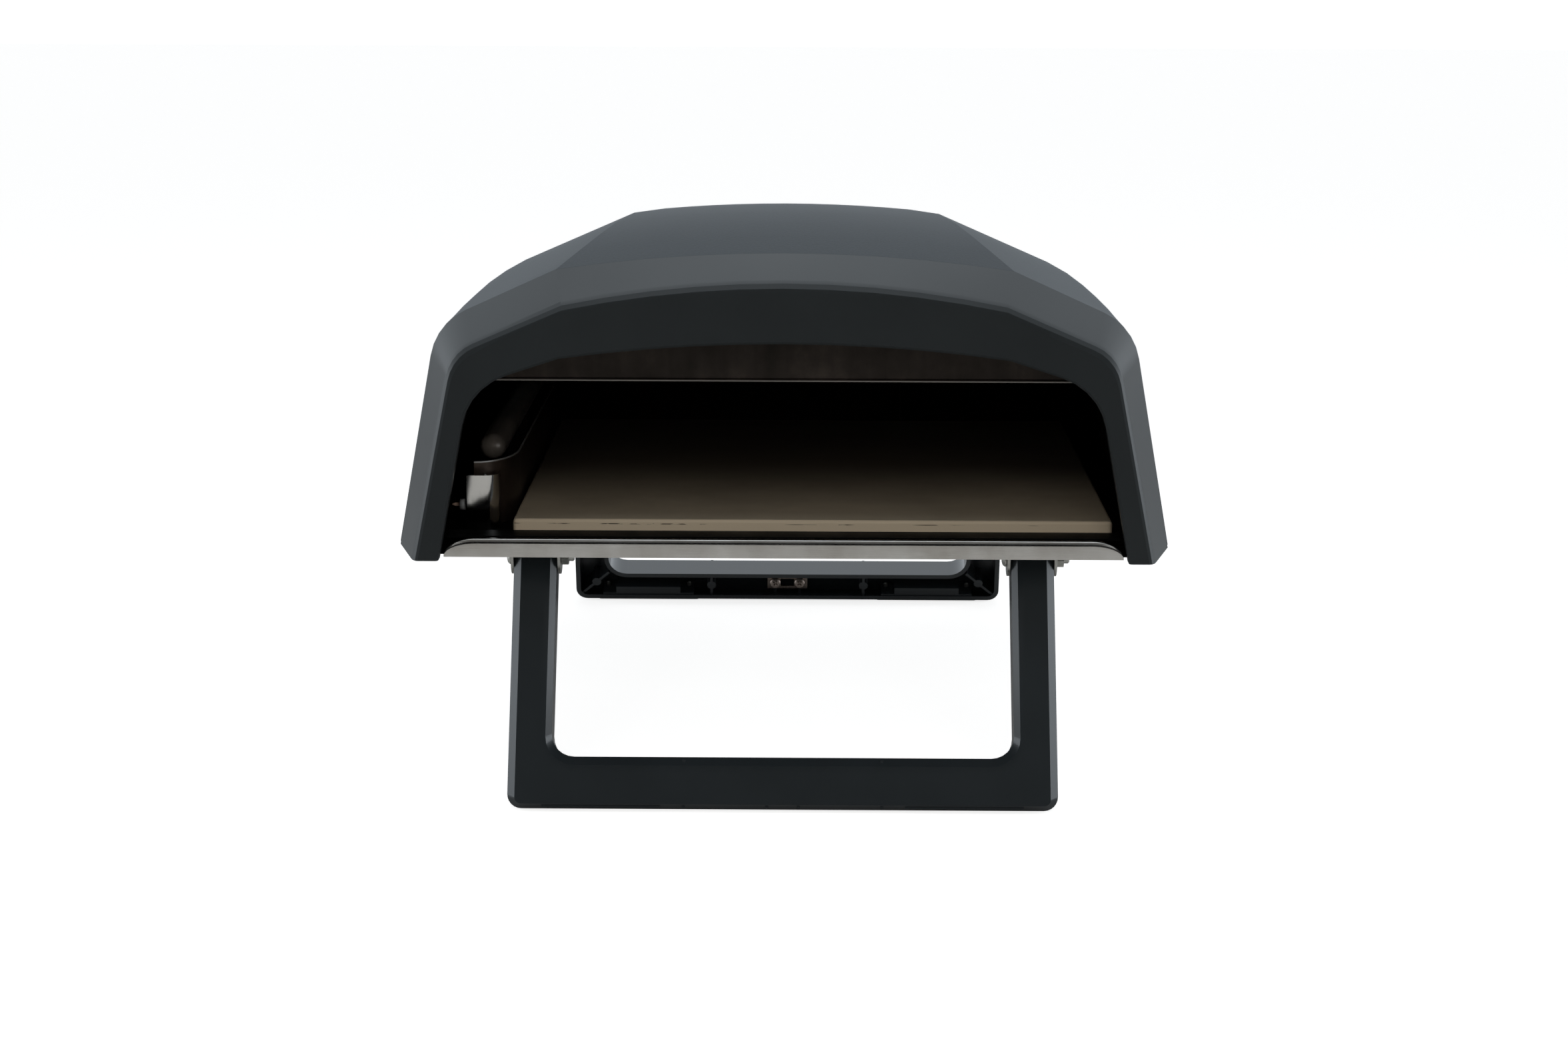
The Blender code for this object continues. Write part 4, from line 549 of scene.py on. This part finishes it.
def soften(names, material, width, angle=30, segments=2):
    """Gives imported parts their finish, and rounds the edges that turn by more than the angle."""
    for name in names:
        part = frame["nodes"][name]
        mesh = part.data
        normals = mesh.attributes.get("custom_normal")
        if normals:
            mesh.attributes.remove(normals)
        mesh.shade_smooth()
        mesh.materials.clear()
        mesh.materials.append(material)
        weld = part.modifiers.new("weld", "WELD")
        weld.merge_threshold = MERGE_DISTANCE
        flat = part.modifiers.new("flat faces", "DECIMATE")
        flat.decimate_type = "DISSOLVE"
        flat.angle_limit = FLAT_ANGLE
        if width:
            edges = part.modifiers.new("soft edges", "BEVEL")
            edges.width = width
            edges.segments = segments
            edges.limit_method = "ANGLE"
            edges.angle_limit = math.radians(angle)
            edges.use_clamp_overlap = True
            edges.miter_outer = "MITER_ARC"
        shading = part.modifiers.new("shading", "WEIGHTED_NORMAL")
        shading.keep_sharp = True
        shading.weight = 50


def each(pattern, *groups):
    """Every name that a pattern gives, with each group's words put in turn."""
    names = [pattern]
    for group in groups:
        names = [name.replace("*", str(word), 1) for name in names for word in group]
    return names


def stand_in(name, mesh, material, node):
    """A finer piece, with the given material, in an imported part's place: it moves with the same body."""
    piece = bpy.data.objects.new(name, mesh)
    bpy.context.scene.collection.objects.link(piece)
    mesh.materials.append(material)
    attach(piece, body_of(frame["nodes"][node])[0])
    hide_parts(node)


def mesh_of(name, rings):
    """A closed skin through rings of equal counts, with a face at each end."""
    bm = bmesh.new()
    rows = [[bm.verts.new(point) for point in ring] for ring in rings]
    for low, high in zip(rows, rows[1:]):
        for k in range(len(low)):
            bm.faces.new((low[k - 1], low[k], high[k], high[k - 1]))
    bm.faces.new(rows[0][::-1])
    bm.faces.new(rows[-1])
    bmesh.ops.recalc_face_normals(bm, faces=bm.faces)
    mesh = bpy.data.meshes.new(name)
    bm.to_mesh(mesh)
    bm.free()
    mesh.shade_smooth()
    mesh.set_sharp_from_angle(angle=SHARP_ANGLE)
    return mesh


def rounded(points, setbacks, steps=6):
    """A path with each inner corner rounded, from a setback before it to the same after it."""
    path = [points[0]]
    for before, corner, after, setback in zip(points, points[1:], points[2:], setbacks):
        start = corner + (before - corner).normalized() * setback
        end = corner + (after - corner).normalized() * setback
        for k in range(steps + 1):
            share = k / steps
            path.append(start.lerp(corner, share).lerp(corner.lerp(end, share), share))
    return [*path, points[-1]]


def sheet_ring(path, thickness):
    """The closed outline of a sheet that follows a path, its thickness to the path's right."""
    inner = []
    for k, point in enumerate(path):
        along = (path[min(k + 1, len(path) - 1)] - path[max(k - 1, 0)]).normalized()
        inner.append(point + Vector((along.y, -along.x)) * thickness)
    return path + inner[::-1]


def lip_mesh(sizes):
    """The front lip: upright face, slanting band, flat top and rear fold, with both ends curving down."""
    low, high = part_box("front_lip")
    packed_share = 0.93  # of the end's curve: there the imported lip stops, and this one goes on
    tip_share = 0.995  # of the end's curve: just short of the tip, where the sheet would close up
    steps = 16
    straight = high.x - sizes.lip_end * packed_share
    turns = [tip_share * math.sin(math.pi / 2 * k / steps) for k in range(steps + 1)]
    stations = [-straight - sizes.lip_end * turn for turn in turns[::-1]]
    stations += [straight + sizes.lip_end * turn for turn in turns]
    least_fold = sizes.lip_sheet * 1.3
    bends = (1.1 * MM, 0.8 * MM, 0.9 * MM)  # how far before its corner each bend starts
    rings = []
    for x in stations:
        past = max(abs(x) - straight, 0) / sizes.lip_end
        share = math.sqrt(1 - past * past)
        top = low.z + (high.z - low.z) * share
        crease = sizes.lip_crease * share
        slant = crease * 0.5
        heel = min(low.z + sizes.lip_heel, top - least_fold)
        front_corners = [(low.y, low.z), (low.y, top - crease)]
        top_corners = [(low.y + slant, top), (high.y, top), (high.y, heel)]
        corners = [Vector(corner) for corner in front_corners + top_corners]
        path = rounded(corners, [bend * share for bend in bends])
        rings.append([(x, point.x, point.y) for point in sheet_ring(path, sizes.lip_sheet)])
    return mesh_of("front_lip_sheet", rings)


def turned(name, profile, segments=48):
    """A skin turned about the Y axis from pairs of radius and place along it."""
    angles = [2 * math.pi * k / segments for k in range(segments)]
    return mesh_of(name, [[(r * math.cos(a), y, r * math.sin(a)) for a in angles] for r, y in profile])


def cross_prism(name, reach, half_width, depth):
    """A tapering cross along +Y, as a cross-head driver's tip leaves it, with some overrun at its mouth."""
    reach_and_depth_shares = ((1.15, -0.3), (1.0, 0.0), (0.45, 1.0))
    rings = []
    for share, depth_share in reach_and_depth_shares:
        arm, half = reach * share, half_width * (0.5 + share / 2)
        quarter = [(arm, -half), (arm, half), (half, half)]
        ring = []
        for k in range(4):
            turn = Matrix.Rotation(math.pi / 2 * k, 2)
            ring += [turn @ Vector(point) for point in quarter]
        rings.append([(point.x, depth * depth_share, point.y) for point in ring])
    return mesh_of(name, rings)


def carved(mesh, cutter):
    """The mesh with the cutter's solid taken out of it."""
    body, tool = (bpy.data.objects.new(part.name, part) for part in (mesh, cutter))
    for obj in (body, tool):
        bpy.context.scene.collection.objects.link(obj)
    cut = body.modifiers.new("recess", "BOOLEAN")
    cut.object = tool
    cut.solver = "EXACT"
    shaped = bpy.data.meshes.new_from_object(body.evaluated_get(bpy.context.evaluated_depsgraph_get()))
    for obj in (body, tool):
        bpy.data.objects.remove(obj)
    shaped.set_sharp_from_angle(angle=SHARP_ANGLE)
    return shaped


def screw_mesh(radius, length, reach):
    """A pan-head screw with a cross recess, its head's top at zero and its shank along +Y."""
    head = radius * 0.53
    shoulder = head * 0.62
    shank = radius * 0.37
    crown = radius * 0.02
    turns = [math.radians(degrees) for degrees in range(8, 90, 9)]
    dome = [(radius * math.sin(turn), shoulder * (1 - math.cos(turn))) for turn in turns]
    profile = [(crown, 0), *dome, (radius, shoulder), (radius, head), (shank, head), (shank, length)]
    recess = cross_prism("recess", reach, half_width=reach * 0.22, depth=head * 0.7)
    return carved(turned("pan_head", profile), recess)


class OVEN_OT_hood(bpy.types.Operator):
    """Coat the visor and the hood shell"""

    bl_idname = "pizza_oven.hood"
    bl_label = "Hood and visor"

    def execute(self, context):
        colours, sizes = settings().colours, settings().sizes
        visor = smooth_powder_coat("Visor powder coat", colours.visor, sizes.peel, shine=0.2)
        hood = wrinkled_powder_coat("Hood wrinkle coat", colours.hood, sizes.wrinkle)
        soften(["front_visor"], visor, sizes.ridge, angle=14, segments=5)
        soften(["outer_shell"], hood, sizes.edge, angle=8, segments=3)
        return {"FINISHED"}


class OVEN_OT_legs(bpy.types.Operator):
    """Coat the cast legs and their rubber feet"""

    bl_idname = "pizza_oven.legs"
    bl_label = "Legs and feet"

    def execute(self, context):
        colours, sizes = settings().colours, settings().sizes
        casting_edge = sizes.edge * 0.5
        for node, name, finish in (
            ("front_leg", "Front leg powder coat", {"roughness": 0.34, "shine": 0.26, "gloss_coat": 0.2}),
            ("rear_leg", "Rear leg powder coat", {"roughness": 0.3, "shine": 0.5, "gloss_coat": 0.6}),
        ):
            coat = smooth_powder_coat(name, colours.legs, sizes.peel, **finish)
            soften([node], coat, casting_edge, angle=25)
        rubber = moulded_rubber("Foot rubber", colours.rubber)
        soften(each("rubber_foot_*_*", ENDS, HANDS), rubber, casting_edge)
        return {"FINISHED"}


class OVEN_OT_chamber(bpy.types.Operator):
    """Finish the base pan, the lip, the baffle, the guard and the chamber's walls"""

    bl_idname = "pizza_oven.chamber"
    bl_label = "Chamber"

    def execute(self, context):
        colours, sizes = settings().colours, settings().sizes
        soften(["base_pan"], stove_enamel("Pan enamel", colours.enamel), sizes.edge * 0.4)
        dark = heat_darkened_steel("Browned steel", colours.chamber)
        soften(["inner_side_left", "inner_side_right", "inner_roof", "inner_back"], dark, sizes.sheet_edge)
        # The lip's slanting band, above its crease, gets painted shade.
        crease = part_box("front_lip")[1].z - sizes.lip_crease
        sheet = brushed_stainless("Brushed sheet", colours.stainless, sizes.brushing, painted_shade_from=crease)
        stand_in("front_lip_sheet", lip_mesh(sizes), sheet, "front_lip")
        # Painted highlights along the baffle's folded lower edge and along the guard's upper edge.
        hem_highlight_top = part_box("heat_baffle")[0].z + sizes.baffle_hem
        baffle = browned_sheet("Browned baffle", colours.baffle, colours.baffle_hem, hem_highlight_top, hem_highlight_top - sizes.rub)
        soften(["heat_baffle"], baffle, sizes.fold_edge)
        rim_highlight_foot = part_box("burner_guard")[1].z - sizes.guard_rim
        guard = browned_sheet("Browned guard", colours.guard, colours.stainless, rim_highlight_foot, rim_highlight_foot + sizes.rub)
        soften(["burner_guard"], guard, sizes.sheet_edge)
        return {"FINISHED"}


class OVEN_OT_stone(bpy.types.Operator):
    """Finish the baking stone"""

    bl_idname = "pizza_oven.stone"
    bl_label = "Baking stone"

    def execute(self, context):
        colours, sizes = settings().colours, settings().sizes
        low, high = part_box("pizza_stone")
        stone = cordierite("Cordierite", colours.stone, colours.soot, low.y, high.z - sizes.chip_drop)
        soften(["pizza_stone"], stone, sizes.stone_edge, segments=4)
        return {"FINISHED"}


class OVEN_OT_burner(bpy.types.Operator):
    """Finish the burner, its brackets, the igniter and the temperature probe"""

    bl_idname = "pizza_oven.burner"
    bl_label = "Burner and igniter"

    def execute(self, context):
        colours, sizes = settings().colours, settings().sizes
        tube = heat_darkened_steel("Burner steel", colours.burner, metal=0.3)
        soften(["burner_tube", "venturi_tube"], tube, sizes.fine_edge)
        straps = heat_darkened_steel("Strap steel", colours.chamber, metal=0.3)
        soften(["burner_bracket_side", "burner_bracket_back"], straps, sizes.fine_edge)
        bright = polished_stainless("Bright stainless", colours.stainless)
        soften(["igniter_housing"], bright, sizes.housing_edge, segments=3)
        nut_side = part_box("igniter_electrode")[0].x + sizes.copper_end
        soften(["igniter_electrode"], copper_tip("Heated copper", colours.copper, colours.nut, nut_side), 0)
        soften(["thermocouple"], zinc_plating("Probe sheath", colours.zinc), 0)
        return {"FINISHED"}


class OVEN_OT_fasteners(bpy.types.Operator):
    """Finish the hinges, the catches and the screws"""

    bl_idname = "pizza_oven.fasteners"
    bl_label = "Hinges and fasteners"

    def execute(self, context):
        colours, sizes = settings().colours, settings().sizes
        zinc = zinc_plating("Zinc plating", colours.zinc)
        dulled = zinc_plating("Dulled zinc", colours.dull_zinc)
        threaded = threaded_zinc("Threaded zinc", colours.zinc, sizes.thread)
        soften(each("hinge_*_*_*", ("bracket", "bolt", "nut"), ENDS, HANDS), zinc, sizes.fine_edge)
        soften(each("leg_clip_*", ENDS), zinc, sizes.fine_edge)
        soften(each("catch_strike_*", ENDS), dulled, sizes.fine_edge)
        soften(each("foot_screw_*_*_*", ENDS, HANDS, (1, 2)), threaded, sizes.stud_edge)
        for node in each("strike_screw_*_*", ENDS, HANDS):
            low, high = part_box(node)
            middle = (low + high) / 2
            mesh = screw_mesh((high.x - low.x) / 2, high.y - low.y, sizes.recess)
            stopped_at = math.radians(40 + 700 * middle.x)  # a different turn on the left and the right
            mesh.transform(Matrix.Rotation(stopped_at, 4, "Y"))
            outwards = math.copysign(1, middle.y)
            seat = Matrix.Translation((middle.x, outwards * min(abs(low.y), abs(high.y)), middle.z))
            mesh.transform(seat @ Matrix.Diagonal((outwards, outwards, 1, 1)))
            stand_in(f"{node}_detail", mesh, dulled, node)
        return {"FINISHED"}


class OVEN_OT_controls(bpy.types.Operator):
    """Finish the control box with its bezel, valve, stem and knob, and the gas inlet"""

    bl_idname = "pizza_oven.controls"
    bl_label = "Controls"

    def execute(self, context):
        colours, sizes = settings().colours, settings().sizes
        coat = smooth_powder_coat("Box powder coat", colours.legs, sizes.peel, roughness=0.46)
        brass = machined_brass("Machined brass", colours.brass)
        zinc = zinc_plating("Bezel plating", colours.zinc)
        soften(["control_box"], coat, sizes.edge)
        soften(["gas_valve", "gas_inlet"], brass, sizes.fine_edge)
        soften(["control_bezel", "valve_stem"], zinc, sizes.sheet_edge)
        soften(["control_knob"], moulded_phenolic("Knob phenolic", colours.knob), sizes.fold_edge)
        return {"FINISHED"}


# Stage


def studio_paper(name, colour, camera_glow):
    """White seamless paper: matte, and plain white to the camera where no shadow falls."""
    material, tree, shader = new_material(name)
    path = add(tree, "LightPath")
    glow = add(tree, "MapRange", {"Value": path.outputs["Is Camera Ray"], "To Max": camera_glow})
    feed(shader, {"Base Color": colour, "Roughness": 0.9, "Specular IOR Level": 0.1})
    feed(shader, {"Emission Color": WHITE, "Emission Strength": glow})
    return material


def card_paint(name, colour, glow):
    """Matte black card, which photographers stand where a reflection should be dark; glow makes it grey."""
    material, _, shader = new_material(name)
    feed(shader, {"Base Color": colour, "Roughness": 1.0, "Specular IOR Level": 0.0})
    feed(shader, {"Emission Color": WHITE, "Emission Strength": glow})
    return material


def studio_sheet(name, half_width, ys, zs, material):
    """A flat sheet of the stage, level from left to right, between two places in depth and in height."""
    left, right = -half_width, half_width
    corners = [(left, ys[0], zs[0]), (right, ys[0], zs[0]), (right, ys[1], zs[1]), (left, ys[1], zs[1])]
    bm = bmesh.new()
    bm.faces.new([bm.verts.new(corner) for corner in corners])
    mesh = bpy.data.meshes.new(name)
    bm.to_mesh(mesh)
    bm.free()
    mesh.materials.append(material)
    sheet = bpy.data.objects.new(name, mesh)
    bpy.context.scene.collection.objects.link(sheet)
    return sheet


def reflection_cards(colour, grey_glow):
    """Two black cards and a grey one, under and behind the camera, which never sees them."""
    half_width = 2.6
    near, far = -1.8, -3.2
    foot, seam, top = 0.003, 1.9, 4.2
    black = card_paint("Black card", colour, 0)
    grey = card_paint("Grey card", colour, grey_glow)
    for card in (
        studio_sheet("floor_card", half_width, (far, near), (foot, foot), black),
        studio_sheet("front_card", half_width, (far, far), (foot, seam), black),
        studio_sheet("high_card", half_width, (far, far), (seam, top), grey),
    ):
        card.visible_camera = False
        card.visible_shadow = False


def lamp(name, place, size, power, colour):
    """A rectangular lamp that looks at the oven's middle and that no camera sees."""
    data = bpy.data.lights.new(name, "AREA")
    data.color = colour[:3]
    data.shape = "RECTANGLE"
    data.size, data.size_y = size
    data.energy = power
    obj = bpy.data.objects.new(name, data)
    bpy.context.scene.collection.objects.link(obj)
    obj.location = place
    middle = (cad_low + cad_high) / 2
    obj.rotation_euler = (middle - Vector(place)).to_track_quat("-Z", "Y").to_euler()
    obj.visible_camera = False
    return obj


def studio_lamps(studio):
    """Softboxes at the sides, overhead, high in front and over the camera; the last gives no highlights."""
    side_size = (1.0, 0.8)
    lamp("left softbox", (-1.5, 0.1, 0.45), side_size, studio.left_lamp, studio.cool)
    lamp("right softbox", (1.5, 0.1, 0.45), side_size, studio.right_lamp, studio.cool)
    lamp("top softbox", (0, 0.2, 2.2), (1.8, 1.8), studio.top_lamp, studio.cool)
    lamp("high softbox", (0, -1.1, 2.3), (1.6, 0.9), studio.high_lamp, studio.cool)
    front = lamp("front softbox", (0, -2.5, 0.95), (1.6, 0.8), studio.front_lamp, studio.plain)
    front.visible_glossy = False


def photo_camera(studio):
    """A camera at the viewing angle, from its place, its pitch down, its turn and its lean."""
    data = bpy.data.cameras.new("camera")
    data.lens = studio.lens
    data.sensor_width = 36
    data.clip_start, data.clip_end = 0.05, 60
    level = Vector((math.cos(studio.yaw), -math.sin(studio.yaw), 0))
    ahead = Vector((math.sin(studio.yaw), math.cos(studio.yaw), 0))
    forward = ahead * math.cos(studio.pitch) - Vector((0, 0, math.sin(studio.pitch)))
    upright = level.cross(forward)
    right = level * math.cos(studio.roll) + upright * math.sin(studio.roll)
    up = upright * math.cos(studio.roll) - level * math.sin(studio.roll)
    camera = bpy.data.objects.new("camera", data)
    bpy.context.scene.collection.objects.link(camera)
    turn = Matrix((right, up, -forward)).transposed().to_4x4()
    camera.matrix_world = Matrix.Translation(studio.camera_place) @ turn
    bpy.context.scene.camera = camera


def studio_sky(studio):
    """White to the camera, as bright but faintly cool in reflections, and dim and cool as light."""
    world = bpy.data.worlds.new("studio")
    bpy.context.scene.world = world
    world.use_nodes = True
    tree = world.node_tree
    tree.nodes.clear()
    path = add(tree, "LightPath").outputs
    seen = add(tree, "Math", {0: path["Is Camera Ray"], 1: path["Is Glossy Ray"]}, operation="ADD")
    seen = add(tree, "Math", {0: seen, 1: path["Is Transmission Ray"]}, operation="ADD", use_clamp=True)
    tone = add(tree, "Mix", {"Factor": path["Is Camera Ray"], "A": studio.cool, "B": WHITE}, **BLEND)
    level = add(tree, "MapRange", {"Value": seen, "To Min": studio.sky, "To Max": studio.backdrop})
    light = add(tree, "Background", {"Color": tone, "Strength": level})
    add(tree, "OutputWorld", {"Surface": light})


class OVEN_OT_stage(bpy.types.Operator):
    """Set the floor, the cards, the lamps, the sky and the camera"""

    bl_idname = "pizza_oven.stage"
    bl_label = "Stage"

    def execute(self, context):
        studio = settings().studio
        reach = 12.0
        paper = studio_paper("Seamless paper", studio.paper, studio.paper_glow)
        studio_sheet("studio_floor", reach, (-reach, reach), (0, 0), paper)
        reflection_cards(studio.card, studio.card_glow)
        studio_lamps(studio)
        studio_sky(studio)
        photo_camera(studio)
        context.scene.view_settings.view_transform = "Standard"
        return {"FINISHED"}


# Add-on

OPERATORS = (
    OVEN_OT_hood,
    OVEN_OT_legs,
    OVEN_OT_chamber,
    OVEN_OT_stone,
    OVEN_OT_burner,
    OVEN_OT_fasteners,
    OVEN_OT_controls,
    OVEN_OT_stage,
)


class PizzaOvenSettings(bpy.types.PropertyGroup):
    """All settings of the pizza oven."""

    colours: PointerProperty(type=OvenColours)
    sizes: PointerProperty(type=OvenSizes)
    studio: PointerProperty(type=OvenStudio)


class OVEN_PT_panel(bpy.types.Panel):
    """Settings and steps of the pizza oven."""

    bl_idname = "OVEN_PT_panel"
    bl_label = "Pizza Oven"
    bl_space_type = "VIEW_3D"
    bl_region_type = "UI"
    bl_category = "Pizza Oven"

    def draw(self, context):
        oven = context.scene.pizza_oven
        for group in (oven.colours, oven.sizes, oven.studio):
            box = self.layout.box()
            for name in group.bl_rna.properties.keys():
                if name not in ("rna_type", "name"):
                    box.prop(group, name)
        for operator in OPERATORS:
            self.layout.operator(operator.bl_idname)


CLASSES = (OvenColours, OvenSizes, OvenStudio, PizzaOvenSettings, *OPERATORS, OVEN_PT_panel)


def register():
    for cls in CLASSES:
        bpy.utils.register_class(cls)
    bpy.types.Scene.pizza_oven = PointerProperty(type=PizzaOvenSettings)


def unregister():
    del bpy.types.Scene.pizza_oven
    for cls in reversed(CLASSES):
        bpy.utils.unregister_class(cls)


def main():
    register()
    for operator in OPERATORS:
        group, name = operator.bl_idname.split(".")
        getattr(getattr(bpy.ops, group), name)()


if __name__ == "__main__":
    main()
